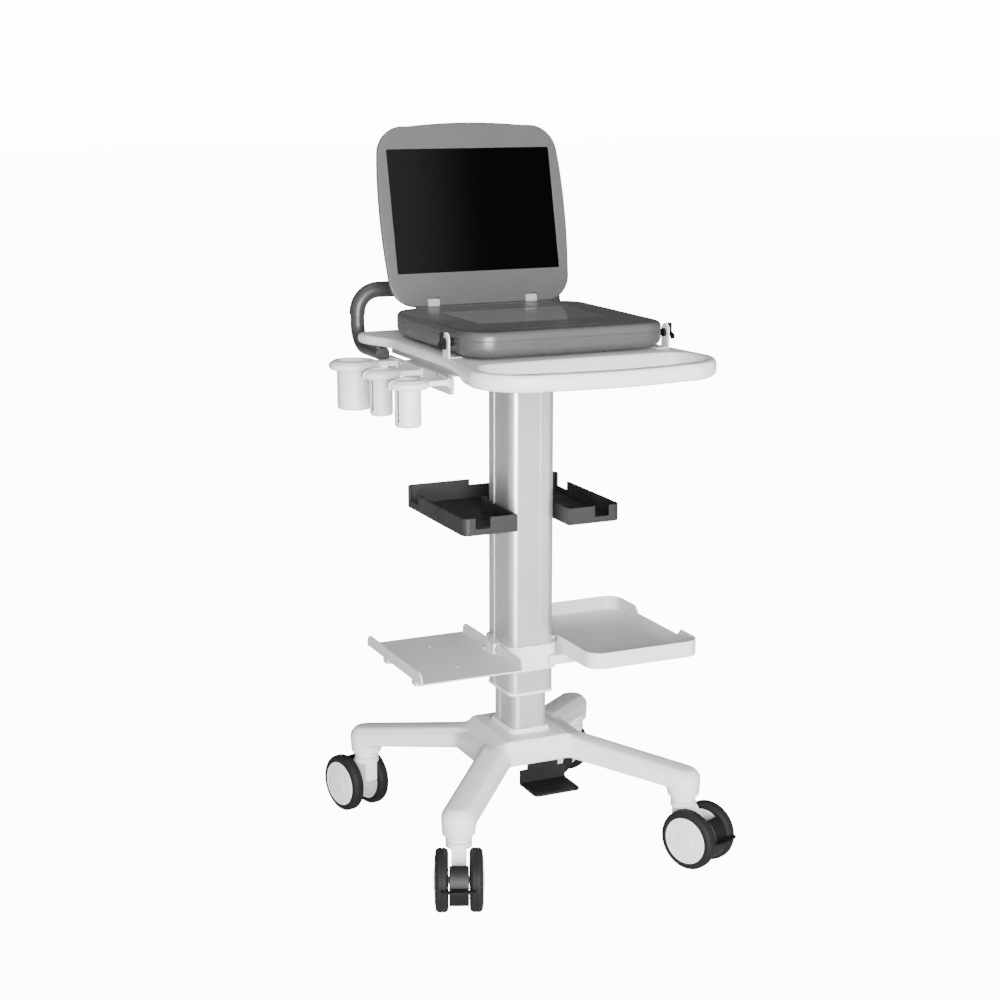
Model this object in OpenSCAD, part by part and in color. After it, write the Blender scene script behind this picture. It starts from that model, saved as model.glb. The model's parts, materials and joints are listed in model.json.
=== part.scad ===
// Portable ultrasound machine on a height-adjustable trolley.
// Origin: on the floor, on the axis of the column. X to the right, Y to the back, Z up.

/* [Base] */
// Half distance between the caster pivots, left to right
pivot_x = 203; // [165:1:245]
// Half distance between the caster pivots, front to back
pivot_y = 206; // [180:1:240]
// Thickness of a leg at its tip
leg_tip_t = 28; // [24:1:40]
// Radius of a leg's round tip, seen from above
leg_r = 28; // [25:1:34]
// Height of the top of the hub above the casters
hub_rise = 85; // [70:1:110]
// Half width of the hub, left to right
hub_x = 100; // [80:1:120]
// Half depth of the hub, front to back
hub_y = 80; // [70:1:100]

/* [Column] */
// Width of the inner column
inner_w = 63; // [54:1:68]
// Depth of the inner column
inner_d = 84; // [74:1:90]
// Length of the inner column
inner_l = 545; // [480:5:600]
// Width of the outer column
outer_w = 81; // [76:1:98]
// Depth of the outer column
outer_d = 98.6; // [96:0.2:120]
// Wall of both column tubes
tube_wall = 4; // [3:0.5:5]
// How far the lift goes up from rest
lift_up = 200; // [100:10:250]
// How far the lift goes down from rest
lift_down = 50; // [20:5:55]

/* [Worktop] */
// Height of the worktop's upper face, with the lift at rest
top_z = 856; // [800:1:1060]
// Thickness of the worktop's side band
top_t = 16; // [12:1:24]
// Half width of the worktop at its waist
top_waist = 187; // [180:1:230]
// Half width of the worktop at the back
top_back_x = 211; // [195:1:225]
// Half width of the worktop at the front
top_front_x = 204; // [195:1:225]
// Back edge of the worktop
top_back_y = 218; // [200:1:260]
// Front edge of the worktop, at the middle
top_front_y = -350; // [-370:1:-340]
// Depth of the worktop's front grip below its top
grip_drop = 26; // [22:1:40]

/* [Laptop unit] */
// Width of the laptop unit
unit_w = 344; // [300:1:350]
// Back edge of the laptop unit
unit_back_y = 149; // [140:1:155]
// Front edge of the laptop unit
unit_front_y = -190; // [-200:1:-170]
// Height of the laptop unit's base, without its feet
unit_h = 41; // [32:1:50]
// Width of the lid
lid_w = 342; // [300:1:344]
// Height of the lid, along the lid
lid_h = 308; // [270:1:320]
// Thickness of the lid
lid_t = 16; // [13:1:22]
// Angle that the open lid leans back
lid_lean = 13.27; // [5:0.01:25]
// Width of the screen
screen_w = 298.5; // [240:0.5:310]
// Height of the screen
screen_h = 207.8; // [170:0.1:230]

/* [Trays] */
// Height of the underside of the instrument tray
bin_z = 561; // [480:1:640]
// Half width of the instrument tray
bin_x = 141; // [120:1:170]
// Wall of the instrument tray
bin_wall = 3; // [2.5:0.5:4]
// Height of the shelf and the basket above the lower end of the outer column
shelf_up = 62; // [45:1:120]
// Width of the lower shelf
shelf_w = 179; // [140:1:220]
// Depth of the lower shelf
shelf_d = 242; // [180:1:280]
// Width of the basket
basket_w = 206; // [160:1:240]
// Depth of the basket
basket_d = 306; // [240:1:330]
// Height of the basket's wall
basket_h = 27; // [20:1:40]

/* [Holders] */
// Inside radius of the gel cup
gel_r = 25.5; // [20:0.5:31]
// Inside radius of the two probe cups
probe_r = 18; // [15:0.5:21]
// Depth of the cups below the holder rings
cup_l = 72; // [60:1:100]
// Wall of a cup
cup_wall = 2.5; // [2:0.1:3]

/* [Casters] */
// Radius of a caster's wheel
wheel_r = 50; // [41:1:60]
// Width of one tyre
tyre_w = 22; // [18:1:24]
// Half of the space between the two wheels of a caster
wheel_gap = 16; // [15.5:0.5:18]
// Distance from a caster's pivot to its axle
trail = 32; // [26:1:36]

/* [Fits] */
// Radial clearance of a part that turns on a shaft
run_gap = 0.05; // [0.02:0.01:0.1]
// Clearance between parts that pass each other
free_gap = 0.5; // [0.3:0.1:1]
// Radius of a caster's stem and of its axle
stem_r = 6; // [5:0.5:7]

/* [Hidden] */
$fn = 48;
eps = 0.01;
caster_names = ["fl", "fr", "bl", "br"];
// the corner that each caster is on, and the direction that it trails
caster_sx = [-1, 1, -1, 1];
caster_sy = [-1, -1, 1, 1];
caster_turn = [-113, -66, 105, 120];
// base
leg_foot_z = 2 * wheel_r + 14;
leg_tip_z = leg_foot_z + 16;
hub_top_z = leg_foot_z + hub_rise;
root_z0 = hub_top_z - 41;
root_x = hub_x - leg_r - 1;
root_y = hub_y - leg_r + 4;
chamfer = 11;
hub_plate_x = 57;
hub_plate_y = 76;
hub_plate_t = 6;
hub_skin = 7;
bezel_h = 8;
bezel_t = 4.5;
collar_r = 21;
collar_h = 10;
// column
outer_z0 = hub_top_z + 73;
head_t = 14;
outer_z1 = top_z - top_t - head_t;
column_r = 12;
flute = 1;
flute_w = 25;
slot_w = 2.4;
slot_x = 9.5;
bolt_r = 4;
bolt_x = inner_w / 2 - tube_wall - 6;
bolt_y = inner_d / 2 - tube_wall - 6;
end_cap_h = 5;
glide_l = 60;
cyl_r = 11;
cyl_bore = 8.5;
cyl_foot = 12;
rod_r = 4;
piston_h = 12;
piston_z = hub_top_z + cyl_foot + lift_down + 10;
cyl_z1 = piston_z + piston_h + lift_up + 25;
// worktop
top_z0 = top_z - top_t;
grip_y = -196;
grip_bar = 23;
slot_x1 = 183;
slot_y1 = -207;
slot_end = 34;
bow = 0.0009;
waist_y0 = -95;
waist_y1 = 95;
side_front_y = -290;
side_back_y = 185;
top_front_r = 88;
corner_n = 8;
under_z = outer_z1 - 3;
shell_w = 326;
shell_d = 382;
shell_yc = 4;
head_x = 95;
head_y = 150;
screw_r = 3;
// rear handle
tube_r = 12;
sleeve_r = 13.5;
handle_x = 186;
handle_y = 262;
handle_top_z = top_z + 64;
handle_low_z = top_z0 - tube_r - 0.5;
handle_bend = 38;
handle_in_y = 142;
grip_end_z = handle_top_z - handle_bend - 3;
// holders
rail_x = -168;
rail_t = 5;
rail_h = 27;
rail_y0 = -116;
rail_y1 = 158;
arm_z = under_z - 8;
ring_h = 12;
ring_t = 12.5;
cup_x = [-238, -239, -245];
cup_y = [-98, 14, 122];
cup_r = [probe_r, probe_r - 2, gel_r];
slit_turn = 15;
cup_lip = 2;
slit_w = 8;
// instrument tray
bin_floor = 3;
bin_h = 28;
bin_back_h = 36;
bin_y0 = -87;
bin_y1 = 160;
bin_r = 12;
pad_gap = 5.5;
bin_gap_x = outer_w / 2 + pad_gap;
bin_in_y = outer_d / 2 + pad_gap;
tray_screw_x = 7;
// strap, shelf and basket
strap_t = 5;
shelf_z = outer_z0 + shelf_up;
strap_z0 = shelf_z - 24;
strap_h = 43;
strap_gap = 1;
ear_w = 12;
bolt_room = 42;
tongue_l = 72;
tongue_w = 26;
tongue_y = 35;
shelf_x1 = -(outer_w / 2 + strap_t + 4.5);
shelf_yc = 2;
sheet_t = 2.5;
rail_side_h = 17;
rail_side_t = 3;
basket_x0 = outer_w / 2 + strap_t + 6;
basket_yc = -9;
basket_r = 26;
basket_t = 3;
boss_r = 21;
boss_h = 16;
// laptop unit
foot_h = 3;
unit_z0 = top_z + foot_h;
unit_z1 = unit_z0 + unit_h;
deck_h = 14;
unit_r = 45;
unit_wall = 3;
panel_in = 1.5;
hinge_y = unit_back_y + 7;
hinge_z = unit_z1 + 6.5;
hinge_x = 90;
hinge_w = 21;
hinge_r = 6.5;
pin_r = 2.5;
lid_front = 4.9;
lid_foot = 7.2;
lid_r = 50;
glass_t = 2;
bezel_front = 5;
screen_v = 160 - lid_foot;
// laptop clamps
clamp_y = [-120, -160];
clamp_w = 22;
clamp_t = 3;
clamp_h = 40;
clamp_foot = 20;
clamp_gap = [9, 4.5];
clamp_screw_z = unit_z0 + 21;
clamp_screw_r = 3;
knob_r = 11;
// pedal
pedal_x = 20;
pedal_pin_y = -40;
pedal_pin_z = hub_top_z - 49;
pedal_pin_r = 4;
pedal_w = 84;
pedal_t = 4;
pedal_drop = 38;
pedal_out = 63;
// casters
fork_r = 21;
fork_boss_r = 22;
fork_z1 = leg_foot_z - collar_h - free_gap;
fork_w = 24;
hub_disc_r = wheel_r - 11;
cap_r = 17;
brake_r0 = wheel_r - 23;
brake_r1 = wheel_r - 4;
brake_w = 30;
brake_tab_r = wheel_r + 8;
brake_tab_w = 60;
ear_t = 2.5;

// ---------- shared shapes ----------

// Rounded rectangle with true arcs at its corners
module rrect(w, d, r) {
    square([w - 2 * r, d], center = true);
    square([w, d - 2 * r], center = true);
    for (sx = [-1, 1], sy = [-1, 1])
        translate([sx * (w / 2 - r), sy * (d / 2 - r)]) circle(r);
}

// Rounded slab between two heights
module slab(w, d, r, z0, z1) {
    translate([0, 0, z0]) linear_extrude(z1 - z0) rrect(w, d, r);
}

// Closed case with round edges: bottom edge radius b0, top edge radius b1
module soft_case(w, d, r, h, b0, b1) {
    hull() {
        slab(w - 2 * b0, d - 2 * b0, r - b0 * 0.6, 0, 0.2);
        slab(w - 0.6 * b0, d - 0.6 * b0, r - b0 * 0.2, b0 * 0.3, b0 * 0.35);
        slab(w, d, r, b0, h - b1);
        slab(w - 2 * b1, d - 2 * b1, r - b1 * 0.6, h - 0.2, h);
    }
}

// Puts its children at caster i, with the pivot at the origin and the trail along +X
module at_caster(i) {
    translate([caster_sx[i] * pivot_x, caster_sy[i] * pivot_y, 0])
        rotate(caster_turn[i]) children();
}

// Puts its children on the lid: X along the hinge, Y up the lid, Z out of the screen
module on_lid() {
    translate([0, hinge_y, hinge_z]) rotate([90 - lid_lean, 0, 0]) children();
}

// Cylinder along X, centred
module xrod(r, l) {
    rotate([0, 90, 0]) cylinder(r = r, h = l, center = true);
}

// Cylinder along Y, centred
module yrod(r, l) {
    rotate([90, 0, 0]) cylinder(r = r, h = l, center = true);
}

// ---------- base ----------

module leg(sx, sy) {
    // boss that takes the caster's stem
    translate([sx * pivot_x, sy * pivot_y, leg_foot_z])
        cylinder(r = leg_r - 1, h = leg_tip_z - leg_foot_z + 4);
    hull() {
        translate([sx * pivot_x, sy * pivot_y, leg_tip_z])
            cylinder(r = leg_r, h = leg_tip_t - chamfer, $fn = 32);
        translate([sx * pivot_x, sy * pivot_y, leg_tip_z])
            cylinder(r = leg_r - 9, h = leg_tip_t, $fn = 32);
        translate([sx * root_x, sy * root_y, root_z0])
            cylinder(r = leg_r, h = hub_top_z - 10 - chamfer - root_z0, $fn = 32);
        translate([sx * root_x, sy * root_y, root_z0])
            cylinder(r = leg_r - 9, h = hub_top_z - 10 - root_z0, $fn = 32);
    }
}

module hub_outline(inset) {
    polygon([for (s = [[1, 1], [-1, 1], [-1, -1], [1, -1]], k = [0, 1])
        let (m = (s[0] * s[1] > 0) ? k : 1 - k)
        m == 0 ? [s[0] * (hub_x - inset), s[1] * (hub_y - 32)]
               : [s[0] * (hub_x - 36), s[1] * (hub_y - inset)]]);
}

module base_frame() {
    color("white") difference() {
        union() {
            for (i = [0:3]) leg(caster_sx[i], caster_sy[i]);
            hull() {
                translate([0, 0, hub_top_z - 43]) linear_extrude(24) hub_outline(0);
                slab(2 * hub_plate_x + 6, 2 * hub_plate_y, 5,
                     hub_top_z - 10, hub_top_z - hub_plate_t / 2);
            }
            slab(2 * hub_plate_x, 2 * hub_plate_y, 4, hub_top_z - hub_plate_t, hub_top_z);
        }
        // hollow underside of the cast hub
        translate([0, 0, root_z0 - 10])
            linear_extrude(hub_top_z - hub_skin - 5 - root_z0 + 10) hub_outline(14);
        // sockets for the caster stems
        for (i = [0:3])
            translate([caster_sx[i] * pivot_x, caster_sy[i] * pivot_y, leg_foot_z - 1])
                cylinder(r = stem_r, h = 31);
        // clearance holes for the column's bolts
        for (sx = [-1, 1], sy = [-1, 1])
            translate([sx * bolt_x, sy * bolt_y, hub_top_z - 30]) cylinder(r = bolt_r, h = 31);
    }
}

module hub_bezel() {
    color("whitesmoke") difference() {
        union() {
            slab(inner_w + 2 * bezel_t + 4, inner_d + 2 * bezel_t + 4, column_r + 4,
                 hub_top_z, hub_top_z + 3);
            slab(inner_w + 2 * bezel_t, inner_d + 2 * bezel_t, column_r + 2,
                 hub_top_z, hub_top_z + bezel_h);
        }
        slab(inner_w + 0.2, inner_d + 0.2, column_r, hub_top_z - 1, hub_top_z + bezel_h + 1);
    }
}

// Section of a column tube, with a shallow flute down the middle of each face
module tube_section(w, d, r, wall, flute_x, flute_y) {
    difference() {
        rrect(w, d, r);
        rrect(w - 2 * wall, d - 2 * wall, r - wall + 1);
        for (s = [-1, 1]) {
            translate([0, s * d / 2]) square([flute_x, 2 * flute], center = true);
            translate([s * w / 2, 0]) square([2 * flute, flute_y], center = true);
        }
    }
}

module inner_column() {
    color("silver") difference() {
        translate([0, 0, hub_top_z]) linear_extrude(inner_l) {
            tube_section(inner_w, inner_d, column_r, tube_wall, flute_w - 4, 30);
            // bolt channels in the corners
            intersection() {
                rrect(inner_w, inner_d, column_r);
                for (sx = [-1, 1], sy = [-1, 1])
                    translate([sx * bolt_x, sy * bolt_y]) difference() {
                        translate([sx * 1.5, sy * 1.5]) square(13, center = true);
                        circle(bolt_r - 0.75);
                    }
            }
        }
        for (s = [-1, 1])
            translate([s * slot_x, s * inner_d / 2, hub_top_z + inner_l / 2])
                cube([slot_w, 5, inner_l + 2], center = true);
    }
}

module column_bolts() {
    color("dimgray") for (sx = [-1, 1], sy = [-1, 1])
        translate([sx * bolt_x, sy * bolt_y, 0]) {
            translate([0, 0, hub_top_z - hub_skin - 10]) cylinder(r = 6.5, h = 5);
            translate([0, 0, hub_top_z - hub_skin - 5 - eps]) cylinder(r = bolt_r - 0.75, h = 52);
        }
}

module gas_cylinder() {
    color("dimgray") translate([0, 0, hub_top_z]) difference() {
        union() {
            cylinder(r = 20, h = 6);
            cylinder(r = cyl_r, h = cyl_z1 - hub_top_z);
        }
        translate([0, 0, cyl_foot]) cylinder(r = cyl_bore, h = cyl_z1 - hub_top_z - cyl_foot - 15);
        translate([0, 0, cyl_foot]) cylinder(r = rod_r + run_gap, h = cyl_z1);
    }
}

module gas_rod() {
    color("lightgray") {
        translate([0, 0, piston_z]) cylinder(r = cyl_bore - run_gap, h = piston_h);
        translate([0, 0, piston_z]) cylinder(r = rod_r, h = outer_z1 - 1 - piston_z);
    }
}

// Collar with its stem in one turned piece, four times
module caster_stems() {
    color("whitesmoke") for (i = [0:3]) at_caster(i)
        rotate_extrude() polygon([
            [0, fork_z1 - 38], [stem_r, fork_z1 - 38], [stem_r, leg_foot_z - collar_h],
            [collar_r, leg_foot_z - collar_h], [collar_r, leg_foot_z - collar_h + 3],
            [collar_r - 0.8, leg_foot_z - collar_h + 3.4], [collar_r - 0.8, leg_foot_z - collar_h + 4.2],
            [collar_r, leg_foot_z - collar_h + 4.6], [collar_r, leg_foot_z - 2],
            [collar_r - 1.5, leg_foot_z], [stem_r, leg_foot_z], [stem_r, leg_foot_z + 28],
            [0, leg_foot_z + 28]]);
}

module pedal_bracket() {
    color("dimgray") difference() {
        union() {
            for (s = [-1, 1])
                translate([pedal_x + s * (pedal_w / 2 - 10), pedal_pin_y, 0]) {
                    translate([0, 0, pedal_pin_z]) xrod(9, 5);
                    translate([0, 0, (pedal_pin_z + hub_top_z - hub_skin - 5) / 2])
                        cube([5, 18, hub_top_z - hub_skin - 5 - pedal_pin_z], center = true);
                }
        }
        translate([pedal_x, pedal_pin_y, pedal_pin_z]) xrod(pedal_pin_r, pedal_w);
    }
}

module pedal_pin() {
    color("silver") translate([pedal_x, pedal_pin_y, pedal_pin_z]) {
        xrod(pedal_pin_r, pedal_w - 13);
        for (s = [-1, 1]) translate([s * (pedal_w / 2 - 6), 0, 0]) xrod(5.5, 1.5);
    }
}

module foot_pedal() {
    color("black") translate([pedal_x, pedal_pin_y, pedal_pin_z]) difference() {
        union() {
            xrod(9, pedal_w - 28);
            translate([0, -pedal_t / 2 - 5, -pedal_drop / 2 - 4]) {
                cube([pedal_w - 28, pedal_t, pedal_drop + 4], center = true);
                translate([0, 0, -6]) cube([pedal_w, pedal_t, pedal_drop - 12], center = true);
            }
            translate([0, -pedal_out / 2 - 5, -pedal_drop - 4])
                linear_extrude(pedal_t) rrect(pedal_w, pedal_out, 8);
            translate([0, -12, -pedal_drop - 4]) linear_extrude(pedal_t)
                square([pedal_w, 14], center = true);
        }
        xrod(pedal_pin_r + run_gap, pedal_w);
    }
}

// ---------- lift ----------

module outer_column() {
    color("silver") translate([0, 0, outer_z0]) linear_extrude(outer_z1 - outer_z0)
        tube_section(outer_w, outer_d, column_r + 2, tube_wall, flute_w, 36);
}

module column_end_cap() {
    color("white") difference() {
        slab(outer_w + 2, outer_d + 2, column_r + 3, outer_z0 - end_cap_h, outer_z0);
        slab(inner_w + 2 * free_gap, inner_d + 2 * free_gap, column_r + free_gap,
             outer_z0 - end_cap_h - 1, outer_z0 + 1);
    }
}

// Slide pads that line the outer tube at its lower and upper stretch
module column_glides() {
    gx = (outer_w - 2 * tube_wall - inner_w) / 2 - 0.3;
    gy = (outer_d - 2 * tube_wall - inner_d) / 2 - 0.3;
    color("white") for (z = [outer_z0 + 4, outer_z0 + glide_l * 3], s = [-1, 1]) {
        translate([s * (outer_w / 2 - tube_wall - gx / 2), 0, z + glide_l / 2])
            cube([gx, inner_d - 2 * column_r, glide_l], center = true);
        translate([0, s * (outer_d / 2 - tube_wall - gy / 2), z + glide_l / 2])
            cube([inner_w - 2 * column_r - 2, gy, glide_l], center = true);
    }
}

module column_head() {
    color("gainsboro") difference() {
        union() {
            slab(2 * head_x, 2 * head_y, 20, outer_z1, top_z0);
            slab(outer_w - 2 * tube_wall - 0.4, outer_d - 2 * tube_wall - 0.4,
                 column_r - tube_wall + 3.5, outer_z1 - 14, outer_z1 + 1);
        }
        translate([0, 0, outer_z1 - 15]) cylinder(r = 16, h = 15 - 1);
        for (sx = [-1, 1], sy = [-1, 1])
            translate([sx * (head_x - 15), sy * (head_y - 18), outer_z1 - 1])
                cylinder(r = screw_r, h = head_t + 2);
    }
}

// Half width of the worktop at a place from front to back
function smooth(t) = let (c = min(1, max(0, t))) c * c * (3 - 2 * c);
function top_half(y, inset) = top_waist - inset
    + (top_back_x - top_waist) * smooth((y - waist_y1) / (side_back_y - waist_y1))
    + (top_front_x - top_waist) * smooth((waist_y0 - y) / (waist_y0 - side_front_y));
function front_edge(x, inset) = top_front_y + inset + bow * x * x;
function corner(cx, cy, r, a0, a1) = [for (k = [0:corner_n])
    let (a = a0 + (a1 - a0) * k / corner_n) [cx + r * cos(a), cy + r * sin(a)]];
function half_outline(inset, back_r, front_r) = let (
        fx = top_front_x - inset - front_r,
        fy = front_edge(fx, inset) + front_r * 0.98)
    concat(
        corner(top_back_x - inset - back_r, top_back_y - inset - back_r, back_r, 90, 0),
        [for (y = [side_back_y - 10:-11:fy + 12]) [top_half(y, inset), y]],
        corner(fx, fy, front_r, 0, -78),
        [for (k = [6:-1:0]) [fx * k / 7, front_edge(fx * k / 7, inset)]]);
function flip(points) = [for (k = [len(points) - 1:-1:0]) [-points[k][0], points[k][1]]];
module worktop_outline(inset) {
    half = half_outline(inset, 30, top_front_r);
    polygon(concat(half, flip(half)));
}

// Opening of the front grip: a band with round ends, straight behind and bowed in front
module grip_slot() {
    x1 = slot_x1 - slot_end;
    back = [for (k = [0:7]) let (x = x1 * k / 7) [x, slot_y1 - 0.0002 * x * x]];
    front = [for (k = [7:-1:0]) let (x = x1 * k / 7) [x, front_edge(x, grip_bar)]];
    end_y = (back[7][1] + front[0][1]) / 2;
    end_r = (back[7][1] - front[0][1]) / 2;
    end = [for (a = [75:-25:-75]) [x1 + slot_end * cos(a), end_y + end_r * sin(a)]];
    half = concat(back, end, front);
    polygon(concat(half, flip(half)));
}

module worktop() {
    color("white") difference() {
        union() {
            translate([0, 0, top_z0]) linear_extrude(top_t - 2) worktop_outline(0);
            translate([0, 0, top_z - 2 - eps]) linear_extrude(2 + eps) worktop_outline(2);
            // deeper grip along the front
            difference() {
                translate([0, 0, top_z - grip_drop]) linear_extrude(grip_drop - 3) worktop_outline(1.5);
                translate([-300, grip_y, top_z - 100]) cube([600, 600, 200]);
            }
        }
        // slot that the fingers reach through
        translate([0, 0, top_z - grip_drop - 1]) linear_extrude(grip_drop + 2) grip_slot();
        // shallow recess of the work surface
        translate([0, 0, top_z - 1]) linear_extrude(2) intersection() {
            worktop_outline(1.5);
            translate([-250, grip_y + 4]) square([500, top_back_y - grip_y - 16]);
        }
        for (sx = [-1, 1], sy = [-1, 1])
            translate([sx * (head_x - 15), sy * (head_y - 18), top_z0 - 1])
                cylinder(r = screw_r - 0.5, h = 12);
    }
}

module worktop_under_shell() {
    color("lightgray") translate([0, shell_yc, 0]) difference() {
        union() {
            slab(shell_w, shell_d, 24, top_z0 - 5, top_z0);
            slab(shell_w - 10, shell_d - 10, 20, under_z, top_z0);
        }
        slab(shell_w - 16, shell_d - 16, 17, under_z + 3, top_z0 + 1);
        translate([0, -shell_yc, 0]) slab(outer_w + 2, outer_d + 2, column_r + 3, under_z - 1, top_z0);
        for (sx = [-1, 1], sy = [-1, 1])
            translate([sx * (head_x - 15), sy * (head_y - 18) - shell_yc, under_z - 1])
                cylinder(r = 6.5, h = 10);
    }
}

module frame_screws() {
    color("silver") {
        // worktop to column head, from below
        for (sx = [-1, 1], sy = [-1, 1])
            translate([sx * (head_x - 15), sy * (head_y - 18), outer_z1]) {
                translate([0, 0, -4]) cylinder(r = 6, h = 4);
                cylinder(r = screw_r - 0.5, h = head_t + 10);
            }
        // strap halves to each other
        for (s = [-1, 1], z = [strap_z0 + 10, strap_z0 + strap_h - 10])
            translate([s * (outer_w / 2 + strap_t + ear_w / 2), 0, z]) {
                yrod(2.5, 32);
                for (t = [-1, 1]) translate([0, t * 17.5, 0]) yrod(4.5, 3);
            }
        // instrument tray to the back of the column
        for (s = [-1, 1])
            translate([s * tray_screw_x, bin_in_y + bin_wall, bin_z + 12]) {
                translate([0, -4, 0]) yrod(2.5, 8);
                translate([0, 1.5, 0]) yrod(4.5, 3);
            }
    }
}

module tube_ring(r, bore) {
    difference() {
        circle(r);
        if (bore > 0) circle(bore);
    }
}

// Upper part of the handle: two uprights, two bends and the bar
module handle_loop(r, bore, z_low) {
    top_c = handle_top_z - handle_bend;
    for (s = [0, 1]) mirror([s, 0, 0]) {
        translate([handle_x, handle_y, z_low]) linear_extrude(top_c - z_low) tube_ring(r, bore);
        translate([handle_x - handle_bend, handle_y, top_c]) rotate([90, 0, 0])
            rotate_extrude(angle = 90) translate([handle_bend, 0]) tube_ring(r, bore);
    }
    translate([0, handle_y, handle_top_z]) rotate([0, 90, 0])
        linear_extrude(2 * (handle_x - handle_bend), center = true) tube_ring(r, bore);
}

module rear_handle() {
    foot_l = handle_y - handle_bend - handle_in_y;
    color("dimgray") {
        handle_loop(tube_r, 0, handle_low_z + handle_bend);
        for (s = [0, 1]) mirror([s, 0, 0]) {
            translate([handle_x, handle_in_y + foot_l / 2, handle_low_z]) yrod(tube_r, foot_l);
            translate([handle_x, handle_y - handle_bend, handle_low_z + handle_bend])
                rotate([90, 0, 90]) rotate([0, 0, -90]) rotate_extrude(angle = 90)
                    translate([handle_bend, 0]) circle(tube_r);
            // plate that screws to the worktop
            translate([handle_x - 2, handle_in_y + 22, top_z0 - 2]) cube([26, 44, 4], center = true);
        }
    }
}

module handle_grip() {
    color("dimgray") handle_loop(sleeve_r, tube_r, grip_end_z);
}

// ---------- holders ----------

module holder_rail() {
    color("gainsboro") {
        difference() {
            translate([rail_x - rail_t / 2, (rail_y0 + rail_y1) / 2, under_z - rail_h / 2])
                rotate([0, 90, 0]) translate([0, 0, -rail_t / 2])
                    linear_extrude(rail_t) rrect(rail_h, rail_y1 - rail_y0, 6);
            for (y = [-60, 90])
                translate([rail_x - rail_t / 2, y, under_z - 6]) xrod(2, 20);
        }
        // flange that screws to the under shell
        translate([rail_x - rail_t / 2 + 20, 0, under_z - 1.5])
            cube([40, 180, 3], center = true);
    }
}

// Arm from the rail and a ring that a cup hangs in; a notch lets a probe's lead through
module cup_ring(x, y, r, notch) {
    rx = r + cup_wall + free_gap;
    rail_face = rail_x - rail_t;
    difference() {
        union() {
            translate([x, y, arm_z - ring_h / 2]) cylinder(r = rx + ring_t, h = ring_h);
            translate([(x - rx + rail_face) / 2 + rx, y, arm_z])
                cube([rail_face - x - rx, 22, 9], center = true);
            translate([rail_face - 1.5, y, arm_z]) cube([3, 30, 15], center = true);
        }
        translate([x, y, arm_z - ring_h]) cylinder(r = rx, h = 2 * ring_h);
        if (notch) translate([x, y, arm_z]) rotate(slit_turn) translate([-rx - ring_t / 2, 0, 0])
            cube([ring_t + 12, slit_w + 2, 2 * ring_h], center = true);
    }
}

module cup_rings() {
    color("white") for (k = [0:2]) cup_ring(cup_x[k], cup_y[k], cup_r[k], k < 2);
}

// Cup with a straight round bore; its lip rests on the holder ring
module cup(k, l) {
    r = cup_r[k];
    color("whitesmoke") translate([cup_x[k], cup_y[k], arm_z + ring_h / 2]) difference() {
        union() {
            translate([0, 0, -l]) cylinder(r = r + cup_wall, h = l);
            cylinder(r = r + cup_wall + ring_t - 4, h = cup_lip);
        }
        translate([0, 0, -l + cup_wall]) cylinder(r = r, h = l + 10);
        if (k < 2) rotate(slit_turn) translate([-r - 6, 0, 15])
            cube([24, slit_w, 2 * l], center = true);
    }
}

module gel_cup() { cup(2, cup_l + 6); }
module probe_cup_middle() { cup(1, cup_l); }
module probe_cup_front() { cup(0, cup_l); }

// ---------- instrument tray ----------

module bin_plan(inset) {
    yc = (bin_y0 + bin_y1) / 2;
    difference() {
        translate([0, yc]) rrect(2 * (bin_x - inset), bin_y1 - bin_y0 - 2 * inset, bin_r - inset);
        translate([0, bin_in_y - 150 + inset / 2])
            rrect(2 * (bin_gap_x + inset), 300 + inset, 5 + inset);
    }
}

// U-shaped moulded tray that runs round the back of the column
module instrument_tray() {
    color("dimgray") difference() {
        translate([0, 0, bin_z]) linear_extrude(bin_back_h) bin_plan(0);
        translate([0, 0, bin_z + bin_floor]) linear_extrude(bin_back_h) bin_plan(bin_wall);
        // all walls but the back one are lower
        translate([0, bin_y1 - 18 - 200, bin_z + bin_h + 50]) cube([400, 400, 100], center = true);
        // low stretch in the middle of the back wall
        translate([0, bin_y1, bin_z + 26 + 50]) cube([48, 30, 100], center = true);
        for (s = [-1, 1]) {
            // openings at the outer rear corners and in the front walls
            translate([s * bin_x, bin_y1 - 35, bin_z + 12 + 50])
                cube([2 * bin_wall + 1, 40, 100], center = true);
            translate([s * (bin_x - 34), bin_y0, bin_z + 10 + 50])
                cube([26, 12, 100], center = true);
        }
        for (s = [-1, 1]) translate([s * tray_screw_x, bin_in_y + 1, bin_z + 12]) yrod(2.5, 12);
    }
}

// Pads that fill the flutes between the tray and the column
module instrument_tray_pads() {
    t = pad_gap + flute;
    color("black") {
        for (s = [-1, 1]) translate([s * (outer_w / 2 - flute + t / 2), 0, bin_z + 12])
            cube([t, 30, 20], center = true);
        difference() {
            translate([0, outer_d / 2 - flute + t / 2, bin_z + 12])
                cube([flute_w - 1, t, 20], center = true);
            for (s = [-1, 1]) translate([s * tray_screw_x, outer_d / 2, bin_z + 12]) yrod(2.5, 30);
        }
    }
}

// ---------- strap, shelf and basket ----------

module strap_plan() {
    w = outer_w + 2 * strap_t;
    d = outer_d + 2 * strap_t;
    difference() {
        union() {
            rrect(w, d, column_r + 2 + strap_t);
            for (s = [-1, 1]) translate([s * (w / 2 + ear_w / 2 - 0.5), 0])
                square([ear_w + 1, 32], center = true);
        }
        rrect(outer_w, outer_d, column_r + 2);
    }
}

module strap_half(side) {
    color("white") difference() {
        translate([0, 0, strap_z0]) linear_extrude(strap_h) intersection() {
            strap_plan();
            translate([0, side * (100 + strap_gap / 2)]) square([400, 200], center = true);
        }
        for (s = [-1, 1], z = [strap_z0 + 10, strap_z0 + strap_h - 10])
            translate([s * (outer_w / 2 + strap_t + ear_w / 2), 0, z]) yrod(2.5, 60);
    }
}

module strap_front() { strap_half(-1); }

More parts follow.
